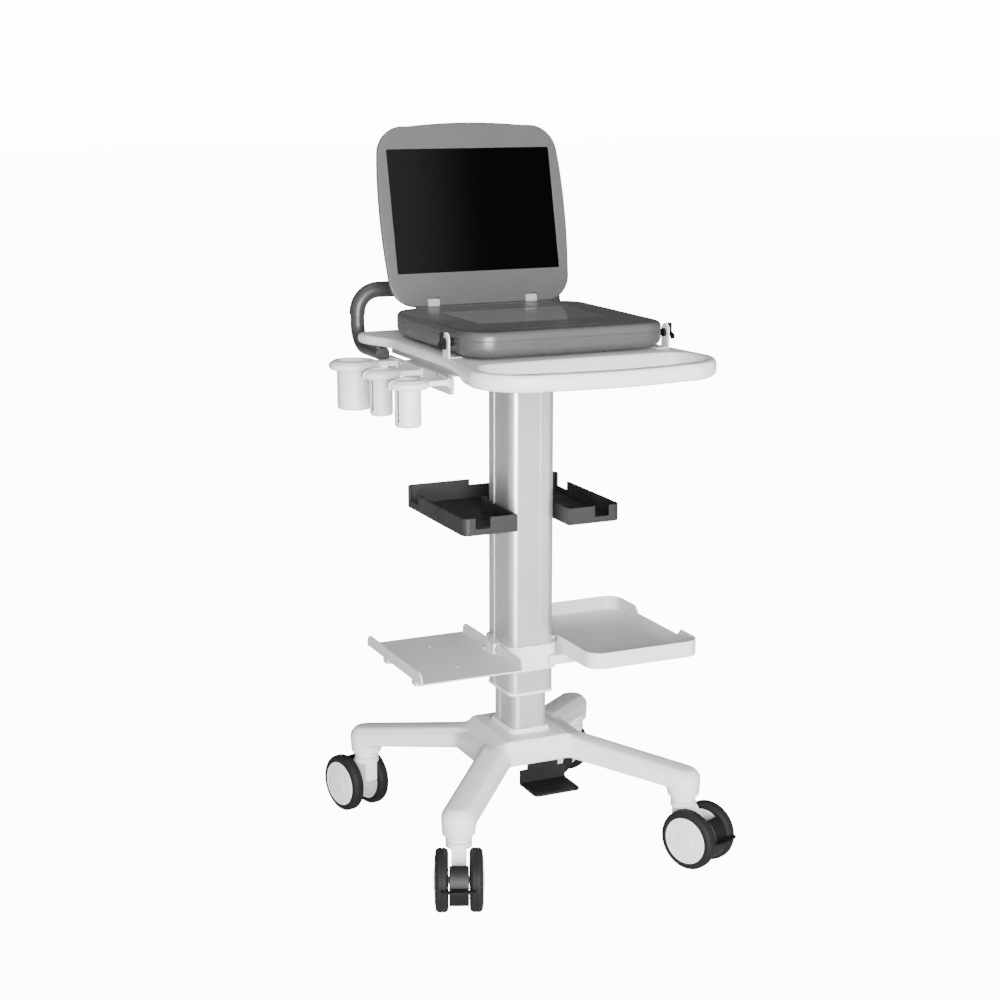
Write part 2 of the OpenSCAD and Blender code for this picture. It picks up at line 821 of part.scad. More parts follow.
// The rear half also carries the tongue that the shelf and the basket stand on
module strap_rear() {
    strap_half(1);
    color("white") for (s = [-1, 1])
        translate([s * (outer_w / 2 + 2 + tongue_l / 2), tongue_y, (strap_z0 + shelf_z) / 2]) difference() {
            cube([tongue_l, tongue_w, shelf_z - strap_z0], center = true);
            translate([s * 6, 0, -5]) cube([tongue_l, tongue_w - 8, shelf_z - strap_z0], center = true);
        }
}

module lower_shelf() {
    z1 = sheet_t + rail_side_h;
    x0 = shelf_x1 - shelf_w;
    color("white") translate([0, shelf_yc, shelf_z]) {
        difference() {
            translate([x0, -shelf_d / 2, 0]) cube([shelf_w, shelf_d, sheet_t]);
            for (y = [-60, 60]) translate([x0 + shelf_w / 2, y, -1]) cylinder(r = 2.5, h = 5);
            // room for the strap's ears
            translate([shelf_x1, -shelf_yc, 0]) cube([2 * ear_w, bolt_room, 20], center = true);
        }
        for (x = [x0, shelf_x1 - rail_side_t]) difference() {
            translate([x, 0, 0]) rotate([90, 0, 90]) linear_extrude(rail_side_t)
                intersection() {
                    translate([0, z1 / 2 - 10]) rrect(shelf_d, z1 + 20, 14);
                    translate([-shelf_d, 0]) square([2 * shelf_d, 100]);
                }
            if (x > x0) translate([shelf_x1, -shelf_yc, 10])
                cube([2 * ear_w, bolt_room, 60], center = true);
        }
        // two small tabs under the outer rail
        for (y = [-88, 38]) translate([x0 + 5, y, -4]) cube([10, 18, 8.02], center = true);
    }
}

module basket_plan(inset) {
    translate([basket_x0 + basket_w / 2, basket_yc])
        rrect(basket_w - 2 * inset, basket_d - 2 * inset, basket_r - inset);
}

module basket() {
    color("white") difference() {
        translate([0, 0, shelf_z]) linear_extrude(basket_h) basket_plan(0);
        translate([0, 0, shelf_z + basket_t]) linear_extrude(basket_h) basket_plan(basket_t);
        // long dip in the outer wall, with sloping ends
        translate([basket_x0 + basket_w - 8, basket_yc - 6, shelf_z + basket_h])
            rotate([90, 0, 90]) linear_extrude(20)
                polygon([[-82, 1], [-70, -12], [70, -12], [82, 1]]);
        // low stretch beside the strap
        translate([basket_x0, 0, shelf_z + basket_h]) cube([12, bolt_room + 26, 26], center = true);
        translate([basket_x0 + 26, -46, shelf_z - 1]) cylinder(r = 2.5, h = 6);
        translate([basket_x0, 0, shelf_z + 10]) cube([2 * ear_w, bolt_room, 60], center = true);
    }
}

// Round-ended lug between the strap's front half and the basket's floor
module basket_boss() {
    color("white") difference() {
        translate([0, 0, shelf_z - boss_h]) linear_extrude(boss_h) difference() {
            union() {
                translate([basket_x0 + 20, -42]) circle(boss_r);
                translate([outer_w / 2 + strap_t + 5, -42])
                    square([2 * boss_r + 10, 2 * boss_r], center = true);
            }
            rrect(outer_w + 2 * strap_t, outer_d + 2 * strap_t, column_r + 2 + strap_t);
            square([2 * (outer_w / 2 + strap_t + ear_w) + 2, bolt_room], center = true);
        }
        translate([basket_x0 + 26, -46, shelf_z - boss_h - 1]) cylinder(r = 2.5, h = 30);
    }
}

// ---------- laptop clamps ----------

module unit_clamps() {
    flat_h = clamp_h - clamp_w / 2;
    color("white") for (k = [0, 1]) let (s = k * 2 - 1)
        translate([s * (unit_w / 2 + clamp_gap[k]), clamp_y[k], top_z - 1]) difference() {
            union() {
                translate([s * (clamp_t - clamp_foot) / 2, 0, foot_h / 2 - 0.25])
                    cube([clamp_foot + clamp_t, clamp_w, foot_h - 0.5], center = true);
                translate([s * clamp_t / 2, 0, flat_h / 2])
                    cube([clamp_t, clamp_w, flat_h], center = true);
                translate([s * clamp_t / 2, 0, flat_h]) xrod(clamp_w / 2, clamp_t);
            }
            translate([0, 0, clamp_screw_z - top_z + 1]) xrod(clamp_screw_r + run_gap, 30);
        }
}

module thumbscrew(k) {
    s = k * 2 - 1;
    out = clamp_gap[k] + clamp_t;
    color("black") translate([s * unit_w / 2, clamp_y[k], clamp_screw_z]) {
        // pad, screw, hub and the three lobes of the knob
        translate([s * (0.4 + 1.8), 0, 0]) xrod(6.5, 3.6);
        translate([s * (out + 10) / 2, 0, 0]) xrod(clamp_screw_r, out + 6);
        translate([s * (out + 4), 0, 0]) xrod(knob_r - 5, 7);
        for (a = [0, 120, 240]) rotate([a, 0, 0]) {
            translate([s * (out + 6), 0, knob_r / 2]) cube([4, 7, knob_r], center = true);
            translate([s * (out + 6), 0, knob_r]) xrod(4.5, 4);
        }
    }
}

module thumbscrew_left() { thumbscrew(0); }
module thumbscrew_right() { thumbscrew(1); }

// ---------- laptop unit ----------

module at_unit(z) {
    translate([0, (unit_back_y + unit_front_y) / 2, z]) children();
}

module unit_lower_shell() {
    d = unit_back_y - unit_front_y;
    h = unit_h - deck_h;
    color("gray") at_unit(unit_z0) difference() {
        soft_case(unit_w, d, unit_r, h + 10, 12, 2);
        translate([0, 0, h + 50]) cube([2 * unit_w, 2 * d, 100], center = true);
        slab(unit_w - 2 * unit_wall - 12, d - 2 * unit_wall - 12, unit_r - 9, unit_wall, 12);
        slab(unit_w - 2 * unit_wall, d - 2 * unit_wall, unit_r - unit_wall, 12 - eps, h + 1);
    }
}

module unit_deck() {
    d = unit_back_y - unit_front_y;
    color("gray") at_unit(unit_z1 - deck_h) difference() {
        translate([0, 0, -20]) soft_case(unit_w, d, unit_r, deck_h + 20, 3, 5);
        translate([0, 0, -50]) cube([2 * unit_w, 2 * d, 100], center = true);
        translate([0, 0, -eps])
            slab(unit_w - 2 * unit_wall, d - 2 * unit_wall, unit_r - unit_wall, 0, deck_h - 4);
        // recess of the control panel
        translate([5, 14, deck_h - panel_in]) linear_extrude(10) rrect(232, 160, 6);
        // long shallow finger groove near the front edge
        translate([0, -d / 2 + 28, deck_h - 1]) linear_extrude(5)
            polygon([for (a = [0:10:350]) [(unit_w / 2 - 22) * cos(a), 5 * sin(a)]]);
    }
}

module control_panel() {
    color("gray") at_unit(unit_z1 - panel_in)
        translate([5, 14, 0]) linear_extrude(panel_in - 0.6) rrect(231.6, 159.6, 6);
}

module unit_feet() {
    color("black") for (sx = [-1, 1], y = [unit_front_y + 45, unit_back_y - 45])
        translate([sx * 125, y, top_z - 1]) cylinder(r = 9, h = foot_h + 1);
}

module battery_pack() {
    color("dimgray") at_unit(unit_z0 + unit_wall) translate([0, 60, 0]) slab(210, 80, 4, 0, 18);
}

// Barrels of the lid's two hinges, on arms that stand behind the deck
module hinge_arms() {
    color("gainsboro") for (s = [-1, 1]) translate([s * hinge_x, hinge_y, hinge_z]) difference() {
        union() {
            xrod(hinge_r, hinge_w);
            translate([0, -0.5, -10]) cube([hinge_w, 12, 20], center = true);
        }
        xrod(pin_r + run_gap, hinge_w + 2);
    }
}

// Outline of the lid: bowed sides and top, round corners
module lid_plan(inset) {
    w = lid_w / 2 - inset;
    h0 = -lid_foot + inset;
    h1 = lid_h - lid_foot - inset;
    r = lid_r - inset;
    side = [for (k = [0:8]) let (t = k / 8) [w - 5 * pow(2 * t - 1, 2), h0 + r + (h1 - h0 - 2 * r) * t]];
    top = [for (k = [1:7]) let (t = 1 - k / 8, x = (w - 5 - r) * t) [x, h1 - 7 * pow(x / (w - r), 2)]];
    half = concat(
        corner(w - 5 - r * 0.55, h0 + r * 0.55, r * 0.55, -90, 0),
        side,
        corner(w - 5 - r, h1 - 5 - r, r, 8, 82),
        top);
    polygon(concat(half, [[0, h1]], flip(half)));
}

module hinge_notches(t) {
    for (s = [-1, 1])
        translate([s * hinge_x, hinge_r - lid_foot, 0])
            cube([hinge_w + 2 * free_gap, 2 * (hinge_r + lid_foot) - 4, t], center = true);
}

module lid_back() {
    color("gray") on_lid() difference() {
        union() {
            translate([0, 0, lid_front - bezel_front - 7]) linear_extrude(7) lid_plan(0);
            translate([0, 0, lid_front - lid_t]) linear_extrude(lid_t - bezel_front) lid_plan(4);
        }
        translate([0, 0, lid_front - lid_t + 2.5]) linear_extrude(lid_t) intersection() {
            lid_plan(9);
            translate([-lid_w, 16]) square([2 * lid_w, lid_h]);
        }
        hinge_notches(60);
        xrod(pin_r, lid_w);
    }
}

module lid_bezel() {
    color("gray") on_lid() difference() {
        union() {
            translate([0, 0, lid_front - bezel_front]) linear_extrude(bezel_front - 2) lid_plan(0);
            translate([0, 0, lid_front - 2 - eps]) linear_extrude(2 + eps) lid_plan(2);
        }
        translate([0, screen_v, lid_front - 10]) linear_extrude(20) rrect(screen_w, screen_h, 3);
        hinge_notches(60);
        xrod(pin_r, lid_w);
    }
}

module screen_glass() {
    color("black") on_lid() translate([0, screen_v, lid_front - bezel_front]) {
        linear_extrude(bezel_front - 0.8) rrect(screen_w, screen_h, 3);
        translate([0, 0, -glass_t * 2]) linear_extrude(glass_t * 2) rrect(screen_w + 4, screen_h + 4, 3);
    }
}

module hinge_pins() {
    color("silver") for (s = [-1, 1])
        translate([s * hinge_x, hinge_y, hinge_z]) xrod(pin_r, hinge_w + 16);
}

// ---------- casters ----------

module fork(i) {
    color("white") at_caster(i) {
        difference() {
            union() {
                translate([0, 0, wheel_r + 10]) cylinder(r = fork_w / 2, h = fork_z1 - wheel_r - 10);
                translate([0, 0, fork_z1 - 9]) cylinder(r = fork_r, h = 9);
                translate([0, fork_w / 2, 0]) rotate([90, 0, 0]) linear_extrude(fork_w) {
                    translate([trail, wheel_r]) circle(fork_boss_r);
                    polygon([[-14, wheel_r + 10], [-14, fork_z1], [14, fork_z1],
                             [trail + 12, wheel_r + 18], [trail, wheel_r - 20],
                             [trail - 16, wheel_r - 14]]);
                }
            }
            translate([0, 0, fork_z1 - 40]) cylinder(r = stem_r + run_gap, h = 60);
        }
        translate([trail, 0, wheel_r]) yrod(stem_r, 2 * (wheel_gap + tyre_w) - 8);
    }
}

// Section of one wheel's disc, outside face to the right
module hub_section() {
    w = tyre_w;
    polygon([[stem_r + run_gap, 0.5], [stem_r + 6, 0.5], [stem_r + 6, 4], [hub_disc_r - 6, 6],
             [hub_disc_r - 4, 1], [hub_disc_r, 1], [hub_disc_r, w - 1], [hub_disc_r - 3, w + 0.5],
             [cap_r + 1.5, w + 0.5], [cap_r + 1, w - 0.5], [cap_r, w - 0.5], [cap_r - 1, w + 1],
             [0, w + 1], [0, w - 3], [stem_r + run_gap, w - 3]]);
}

module tyre_section() {
    w = tyre_w;
    translate([hub_disc_r, 0]) polygon(concat([[0, 0.5]],
        [for (a = [-90:15:90]) let (r = 7)
            [wheel_r - hub_disc_r - r + r * cos(a), (a < 0 ? r : w - r) + r * sin(a)]],
        [[0, w]]));
}

module wheel_pair(i) {
    at_caster(i) for (s = [-1, 1])
        translate([trail, s * wheel_gap, wheel_r]) rotate([-s * 90, 0, 0])
            rotate_extrude($fn = 72) children();
}

module brake_lever(i) {
    color("black") at_caster(i) translate([trail, 0, wheel_r]) rotate([90, 0, 0]) difference() {
        union() {
            // shoe between the wheels, behind the fork
            translate([0, 0, -brake_w / 2 + 1]) linear_extrude(brake_w - 2) intersection() {
                difference() { circle(brake_r1); circle(brake_r0); }
                polygon([[0, 0], [60, -44], [95, -10], [85, 40], [45, 64]]);
            }
            // tread outside the wheels
            translate([0, 0, -brake_tab_w / 2]) linear_extrude(brake_tab_w)
                intersection() {
                    difference() { circle(brake_tab_r); circle(wheel_r + 3.5); }
                    polygon([[0, 0], [95, -5], [95, 14]]);
                }
            translate([0, 0, -brake_w / 2 + 1]) linear_extrude(brake_w - 2) intersection() {
                difference() { circle(brake_tab_r - 2); circle(brake_r1 - 2); }
                polygon([[0, 0], [95, -4], [95, 13]]);
            }
            // ears round the axle
            for (s = [-1, 1]) translate([0, 0, s * (fork_w / 2 + 0.3 + ear_t / 2)])
                linear_extrude(ear_t, center = true) {
                    circle(12);
                    polygon([[0, -12], [brake_r0 + 6, -10], [brake_r0 + 6, 12], [0, 12]]);
                }
        }
        cylinder(r = stem_r + run_gap, h = 100, center = true);
    }
}

// ---------- what is drawn ----------

base_frame();
hub_bezel();
inner_column();
column_bolts();
gas_cylinder();
caster_stems();
pedal_bracket();
pedal_pin();
foot_pedal();
outer_column();
column_end_cap();
column_glides();
gas_rod();
column_head();
worktop_under_shell();
worktop();
frame_screws();
rear_handle();
handle_grip();
holder_rail();
cup_rings();
gel_cup();
probe_cup_middle();
probe_cup_front();
instrument_tray();
instrument_tray_pads();
strap_front();
strap_rear();
lower_shelf();
basket();
basket_boss();
unit_clamps();
unit_lower_shell();
unit_deck();
control_panel();
unit_feet();
battery_pack();
hinge_arms();
lid_back();
lid_bezel();
screen_glass();
hinge_pins();
thumbscrew_left();
thumbscrew_right();
for (i = [0:3]) {
    fork(i);
    color("whitesmoke") wheel_pair(i) hub_section();
    color("black") wheel_pair(i) tyre_section();
    brake_lever(i);
}
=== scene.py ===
# %% [markdown]
# # Ultrasound machine on a height-adjustable trolley
#
# The frame brings the exact CAD solids of the trolley, already in place.
# This lesson dresses them. It builds the shapes that a plain solid can't show,
# such as bullnosed edges, lathed rims and bent tubes, and gives each a finish.
# Lengths in the script are in millimetres, and `MM` turns them into metres.

# %% Load the frame
import bpy, bmesh, json, math
from mathutils import Vector, Matrix


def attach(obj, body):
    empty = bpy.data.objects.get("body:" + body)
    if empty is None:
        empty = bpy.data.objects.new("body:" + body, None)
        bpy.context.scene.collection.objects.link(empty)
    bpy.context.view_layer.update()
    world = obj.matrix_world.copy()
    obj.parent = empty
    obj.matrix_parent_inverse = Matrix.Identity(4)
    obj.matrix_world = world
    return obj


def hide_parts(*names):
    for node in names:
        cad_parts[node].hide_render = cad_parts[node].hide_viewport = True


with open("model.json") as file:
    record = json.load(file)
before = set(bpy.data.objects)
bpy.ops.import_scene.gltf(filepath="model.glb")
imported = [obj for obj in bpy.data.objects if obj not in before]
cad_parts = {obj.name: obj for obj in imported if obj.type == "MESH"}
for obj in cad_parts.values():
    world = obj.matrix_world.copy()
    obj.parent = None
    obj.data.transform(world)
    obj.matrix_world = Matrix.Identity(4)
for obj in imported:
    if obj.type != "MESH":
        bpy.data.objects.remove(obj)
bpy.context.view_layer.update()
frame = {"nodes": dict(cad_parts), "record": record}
MM = 0.001
slot_of_node = {s["node"]: s["material_slot"] for s in frame["record"]["subparts"]}

# %% [markdown]
# ## Shared effects of the finishes
#
# Three small node groups are used by most materials.
# *Moulded grain* is the fine texture of powder coat and of moulded plastic.
# It could be an image, but a noise in object space needs no unwrapping.
# *Handling* is a broad unevenness of the gloss, where hands have polished it.
# *Settled dust* is a mask that is strongest on faces that look up.

# %% Node groups
def new_group(name, inputs, outputs):
    group = bpy.data.node_groups.new(name, "ShaderNodeTree")
    for label, value in inputs:
        socket = group.interface.new_socket(name=label, in_out="INPUT",
                                            socket_type="NodeSocketFloat")
        socket.default_value = value
    for label in outputs:
        group.interface.new_socket(name=label, in_out="OUTPUT", socket_type="NodeSocketFloat")
    return group, group.nodes.new("NodeGroupInput"), group.nodes.new("NodeGroupOutput")


def noise_node(tree, coords, scale, detail):
    noise = tree.nodes.new("ShaderNodeTexNoise")
    noise.inputs["Detail"].default_value = detail
    tree.links.new(coords, noise.inputs["Vector"])
    tree.links.new(scale, noise.inputs["Scale"])
    return noise.outputs["Fac"]


grain_group, entry, leave = new_group("moulded_grain", [("Scale", 900.0)], ["Height"])
coords = grain_group.nodes.new("ShaderNodeTexCoord").outputs["Object"]
grain_group.links.new(noise_node(grain_group, coords, entry.outputs["Scale"], 3.0),
                      leave.inputs["Height"])

handling_group, entry, leave = new_group(
    "handling", [("Scale", 9.0), ("Low", 0.3), ("High", 0.5)], ["Roughness"])
coords = handling_group.nodes.new("ShaderNodeTexCoord").outputs["Object"]
spread = handling_group.nodes.new("ShaderNodeMapRange")
handling_group.links.new(noise_node(handling_group, coords, entry.outputs["Scale"], 4.0),
                         spread.inputs["Value"])
spread.inputs["From Min"].default_value = 0.3
spread.inputs["From Max"].default_value = 0.7
handling_group.links.new(entry.outputs["Low"], spread.inputs["To Min"])
handling_group.links.new(entry.outputs["High"], spread.inputs["To Max"])
handling_group.links.new(spread.outputs["Result"], leave.inputs["Roughness"])

dust_group, entry, leave = new_group("settled_dust", [("Scale", 30.0), ("Amount", 0.1)], ["Mask"])
coords = dust_group.nodes.new("ShaderNodeTexCoord").outputs["Object"]
upward = dust_group.nodes.new("ShaderNodeSeparateXYZ")
surface = dust_group.nodes.new("ShaderNodeNewGeometry")
dust_group.links.new(surface.outputs["Normal"], upward.inputs[0])
facing = dust_group.nodes.new("ShaderNodeMath")
facing.operation, facing.use_clamp = "MULTIPLY", True
dust_group.links.new(upward.outputs["Z"], facing.inputs[0])
dust_group.links.new(noise_node(dust_group, coords, entry.outputs["Scale"], 5.0), facing.inputs[1])
amount = dust_group.nodes.new("ShaderNodeMath")
amount.operation = "MULTIPLY"
dust_group.links.new(facing.outputs[0], amount.inputs[0])
dust_group.links.new(entry.outputs["Amount"], amount.inputs[1])
dust_group.links.new(amount.outputs[0], leave.inputs["Mask"])
print("groups:", [g.name for g in bpy.data.node_groups])

# %% [markdown]
# ## The finishes
#
# One finish for each material slot of the record. Every finish is a Principled
# shader with the shared groups round it: grain goes to the bump, handling to the
# roughness, and dust is mixed into the colour. Values that are the same all over
# stay on the shader's own sockets.

# %% Finishes
def finish(name, colour, rough, metal=0.0, grain=900.0, bump=0.05, dust=0.05, coat=0.0, tint=0.04,
           gloss=0.5):
    material = bpy.data.materials.new(name)
    material.use_nodes = True
    tree = material.node_tree
    shader = tree.nodes["Principled BSDF"]
    shader.inputs["Metallic"].default_value = metal
    shader.inputs["Coat Weight"].default_value = coat
    shader.inputs["Specular IOR Level"].default_value = gloss
    shader.inputs["Coat Roughness"].default_value = 0.08

    def group(which, **values):
        node = tree.nodes.new("ShaderNodeGroup")
        node.node_tree = which
        for label, value in values.items():
            node.inputs[label].default_value = value
        return node.outputs[0]

    def mixed(factor, first, second):
        mix = tree.nodes.new("ShaderNodeMix")
        mix.data_type = "RGBA"
        tree.links.new(factor, mix.inputs["Factor"])
        for socket, value in ((mix.inputs["A"], first), (mix.inputs["B"], second)):
            if isinstance(value, tuple):
                socket.default_value = (*value, 1.0)
            else:
                tree.links.new(value, socket)
        return mix.outputs["Result"]

    deeper = tuple(c * (1.0 - tint) for c in colour)
    blotch = group(handling_group, Scale=14.0, Low=0.0, High=1.0)
    dusty = tuple(min(1.0, c * 0.6 + 0.3) for c in colour)
    tree.links.new(mixed(group(dust_group, Scale=30.0, Amount=dust),
                         mixed(blotch, colour, deeper), dusty), shader.inputs["Base Color"])
    tree.links.new(group(handling_group, Scale=9.0, Low=rough * 0.85, High=min(1.0, rough * 1.2)),
                   shader.inputs["Roughness"])
    height = tree.nodes.new("ShaderNodeBump")
    height.inputs["Strength"].default_value = bump
    height.inputs["Distance"].default_value = 0.0004
    tree.links.new(group(grain_group, Scale=grain), height.inputs["Height"])
    tree.links.new(height.outputs["Normal"], shader.inputs["Normal"])
    return material


finishes = {
    "cast_white": finish("powder coated casting", (.70, .71, .73), .42, bump=.12),
    "trim_white": finish("white trim", (.80, .80, .80), .40),
    "column_aluminium": finish("anodised aluminium", (.66, .67, .69), .30, metal=.8, grain=1500,
                               tint=.03, bump=.02),
    "steel": finish("bright steel", (.62, .62, .64), .28, metal=1.0, grain=1400),
    "black_metal": finish("black enamel", (.035, .035, .038), .40),
    "caster_white": finish("caster plastic", (.74, .75, .76), .36),
    "pedal_black": finish("textured black metal", (.007, .007, .0075), .50, grain=700, bump=.25,
                          dust=.01, gloss=.25),
    "shell_grey": finish("grey moulded shell", (.50, .50, .51), .50, bump=.12),
    "worktop_white": finish("worktop lacquer", (.80, .80, .81), .34, coat=.15),
    "handle_grey": finish("dark grey enamel", (.036, .036, .038), .40, coat=.1, dust=.02),
    "rail_white": finish("painted sheet", (.62, .62, .63), .42),
    "cup_white": finish("holder plastic", (.76, .76, .77), .36, dust=.04),
    "tray_dark": finish("charcoal plastic", (.022, .022, .024), .50, grain=600, bump=.22,
                        dust=.02, gloss=.3),
    "black_rubber": finish("black rubber", (.02, .02, .02), .75, bump=.2),
    "strap_white": finish("white enamel", (.78, .78, .79), .38),
    "sheet_white": finish("powder coated sheet", (.70, .70, .72), .46, bump=.14),
    "basket_white": finish("basket plastic", (.72, .72, .73), .34),
    "unit_grey": finish("grey metallic lacquer", (.078, .078, .081), .36, metal=.1, coat=.2,
                        grain=2200, dust=.03),
    "panel_grey": finish("smoked panel", (.07, .07, .073), .14, coat=.6, bump=.01, dust=.02),
    "hinge_grey": finish("pale hinge plastic", (.42, .42, .43), .40),
    "screen_black": finish("screen glass", (.0004, .0004, .0005), .2, bump=.002, dust=0.0,
                           gloss=.03),
    "knob_black": finish("black plastic", (.005, .005, .0055), .46, dust=.01, gloss=.22),
    "tyre_black": finish("caster rubber", (.008, .008, .0085), .66, grain=500, bump=.2,
                         dust=.02, gloss=.2),
}
print(len(finishes), "finishes")

# %% [markdown]
# ## The dark screen
#
# A switched-off screen is a touch paler on one side, where it mirrors the room.
# A lamp could make this, but it would also light the rest. So the reflection is
# painted: a smooth step along X in object space blends a slightly lighter black into the colour.

# %% Screen: painted reflection
# painted reflection: a lighter black blended into the screen's colour towards its left side
REFLECTION_LEFT, REFLECTION_RIGHT, REFLECTION_AMOUNT = -0.15, 0.03, 0.55
pane = finishes["screen_black"].node_tree
across = pane.nodes.new("ShaderNodeSeparateXYZ")
pane.links.new(pane.nodes.new("ShaderNodeTexCoord").outputs["Object"], across.inputs[0])
painted_reflection = pane.nodes.new("ShaderNodeMapRange")
painted_reflection.inputs["From Min"].default_value, painted_reflection.inputs["From Max"].default_value = REFLECTION_LEFT, REFLECTION_RIGHT
painted_reflection.inputs["To Min"].default_value, painted_reflection.inputs["To Max"].default_value = REFLECTION_AMOUNT, 0.0
painted_reflection.interpolation_type = "SMOOTHSTEP"
pane.links.new(across.outputs["X"], painted_reflection.inputs["Value"])
# mixes the painted reflection's lighter black into the screen's base colour
painted_reflection_mix = pane.nodes.new("ShaderNodeMix")
painted_reflection_mix.data_type = "RGBA"
shader = pane.nodes["Principled BSDF"]
pane.links.new(shader.inputs["Base Color"].links[0].from_socket, painted_reflection_mix.inputs["A"])
painted_reflection_mix.inputs["B"].default_value = (.012, .012, .013, 1.0)
pane.links.new(painted_reflection.outputs["Result"], painted_reflection_mix.inputs["Factor"])
pane.links.new(painted_reflection_mix.outputs["Result"], shader.inputs["Base Color"])
print("screen veil from", REFLECTION_LEFT, "to", REFLECTION_RIGHT, "m")

# %% [markdown]
# ## Ways of making a piece
#
# A piece is a stack of rings, a lathed section, a swept tube or a softened copy of
# its CAD solid. `stack` joins rings that have the same number of points. `lathe`
# turns a section round Z. `soften` copies a CAD solid, merges its loose triangles
# back into flat faces and rounds every hard edge a little, because no real edge is
# perfectly sharp and the light needs something to catch on.

# %% Tools
ON_AXIS = 1e-6          # a section point this near the axis is a pole
WELD, SPECK = 0.002, 0.001
CAD_WELD = 0.02 * MM    # the CAD meshes are in metres


def rounded_rect(width, depth, radius, cx=0.0, cy=0.0, steps=10):
    points = []
    for sx, sy, start in ((1, 1, 0), (-1, 1, 90), (-1, -1, 180), (1, -1, 270)):
        for k in range(steps + 1):
            a = math.radians(start + 90.0 * k / steps)
            points.append((cx + sx * (width / 2 - radius) + radius * math.cos(a),
                           cy + sy * (depth / 2 - radius) + radius * math.sin(a)))
    return points


def ring_at(points, z):
    return [(x, y, z) for x, y in points]


def stack(bm, rings, caps=(True, True)):
    made = [[bm.verts.new(p) for p in ring] for ring in rings]
    for low, high in zip(made, made[1:]):
        for k in range(len(low)):
            j = (k + 1) % len(low)
            bm.faces.new((low[k], low[j], high[j], high[k]))
    if caps[0]:
        bm.faces.new(list(reversed(made[0])))
    if caps[1]:
        bm.faces.new(made[-1])
    return made


def fill_between(bm, *loops):
    edges = []
    for loop in loops:
        for k, vert in enumerate(loop):
            other = loop[(k + 1) % len(loop)]
            edges.append(bm.edges.get((vert, other)) or bm.edges.new((vert, other)))
    bmesh.ops.triangle_fill(bm, edges=edges, use_beauty=True)


def lathe(bm, section, place=Matrix.Identity(4), steps=64):
    rings = []
    for k in range(steps):
        a = 2 * math.pi * k / steps
        rings.append([bm.verts.new(place @ Vector((r * math.cos(a), r * math.sin(a), z)))
                      for r, z in section])
    count = len(section)
    for k in range(steps):
        a, b = rings[k], rings[(k + 1) % steps]
        for i in range(count):
            j = (i + 1) % count
            if section[i][0] < ON_AXIS and section[j][0] < ON_AXIS:
                continue
            bm.faces.new((a[i], b[i], b[j], a[j]))


def block(bm, size, centre, place=Matrix.Identity(4), edge=0.8):
    made = bmesh.ops.create_cube(bm, size=1.0)["verts"]
    shape = place @ Matrix.Translation(centre) @ Matrix.Diagonal((*size, 1.0))
    bmesh.ops.transform(bm, matrix=shape, verts=made)
    if edge > 0:
        edges = list({e for v in made for e in v.link_edges})
        bmesh.ops.bevel(bm, geom=edges, offset=edge, segments=2, profile=0.5, affect="EDGES")


def to_object(bm, name, angle=35.0):
    bmesh.ops.remove_doubles(bm, verts=bm.verts, dist=WELD)
    bmesh.ops.dissolve_degenerate(bm, edges=bm.edges, dist=SPECK)
    bmesh.ops.recalc_face_normals(bm, faces=bm.faces)
    bmesh.ops.scale(bm, vec=(MM, MM, MM), verts=bm.verts)
    mesh = bpy.data.meshes.new(name)
    bm.to_mesh(mesh)
    bm.free()
    mesh.shade_smooth()
    mesh.set_sharp_from_angle(angle=math.radians(angle))
    made = bpy.data.objects.new(name, mesh)
    bpy.context.scene.collection.objects.link(made)
    return made


def bake_modifiers(made, angle=35.0):
    bpy.context.view_layer.update()
    graph = bpy.context.evaluated_depsgraph_get()
    mesh = bpy.data.meshes.new_from_object(made.evaluated_get(graph))
    made.modifiers.clear()
    made.data = mesh
    mesh.shade_smooth()
    mesh.set_sharp_from_angle(angle=math.radians(angle))


def even_shading(made):
    """Let the large faces set the normals, so flats stay flat beside round edges."""
    weigh = made.modifiers.new("even shading", "WEIGHTED_NORMAL")
    weigh.keep_sharp, weigh.weight = True, 60
    bpy.context.view_layer.update()
    graph = bpy.context.evaluated_depsgraph_get()
    mesh = bpy.data.meshes.new_from_object(made.evaluated_get(graph))
    made.modifiers.clear()
    made.data = mesh


def cut(made, *cutters):
    for cutter in cutters:
        tool = made.modifiers.new("cut", "BOOLEAN")
        tool.operation, tool.solver, tool.object = "DIFFERENCE", "EXACT", cutter
    bpy.context.view_layer.update()
    bake_modifiers(made)
    for cutter in cutters:
        bpy.data.objects.remove(cutter)


def deliver(made, body, slot, *nodes):
    even_shading(made)
    made.data.materials.clear()
    made.data.materials.append(finishes[slot])
    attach(made, body)
    if nodes:
        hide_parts(*nodes)
    return made


def body_of_node(node):
    for body, facts in frame["record"]["behaviour"]["bodies"].items():
        if node in facts:
            return body


HARD_EDGE, SAME_PLANE = math.radians(28.0), math.radians(0.6)


def soften(node, edge):
    bm = bmesh.new()
    bm.from_mesh(frame["nodes"][node].data)
    bmesh.ops.remove_doubles(bm, verts=bm.verts, dist=CAD_WELD)
    bmesh.ops.dissolve_limit(bm, angle_limit=SAME_PLANE, verts=bm.verts, edges=bm.edges)
    mesh = bpy.data.meshes.new(node + "_piece")
    bm.to_mesh(mesh)
    bm.free()
    made = bpy.data.objects.new(node + "_piece", mesh)
    bpy.context.scene.collection.objects.link(made)
    bevel = made.modifiers.new("soft edges", "BEVEL")
    bevel.width, bevel.segments = edge * MM, 3
    bevel.limit_method, bevel.angle_limit = "ANGLE", HARD_EDGE
    bpy.context.view_layer.update()
    bake_modifiers(made)
    return deliver(made, body_of_node(node), slot_of_node[node], node)


# %% [markdown]
# ## Worktop
#
# One moulding with a bullnose all round, a waist at the sides and a slot for the
# fingers along the front. It could be cut from the CAD solid and bevelled, but the
# round edge is as deep as the board itself, so it is built as rings instead: the
# outline is moved inwards along its own normals, more near the top and the bottom.
# The front is deeper than the rest, so each point has its own lower height.

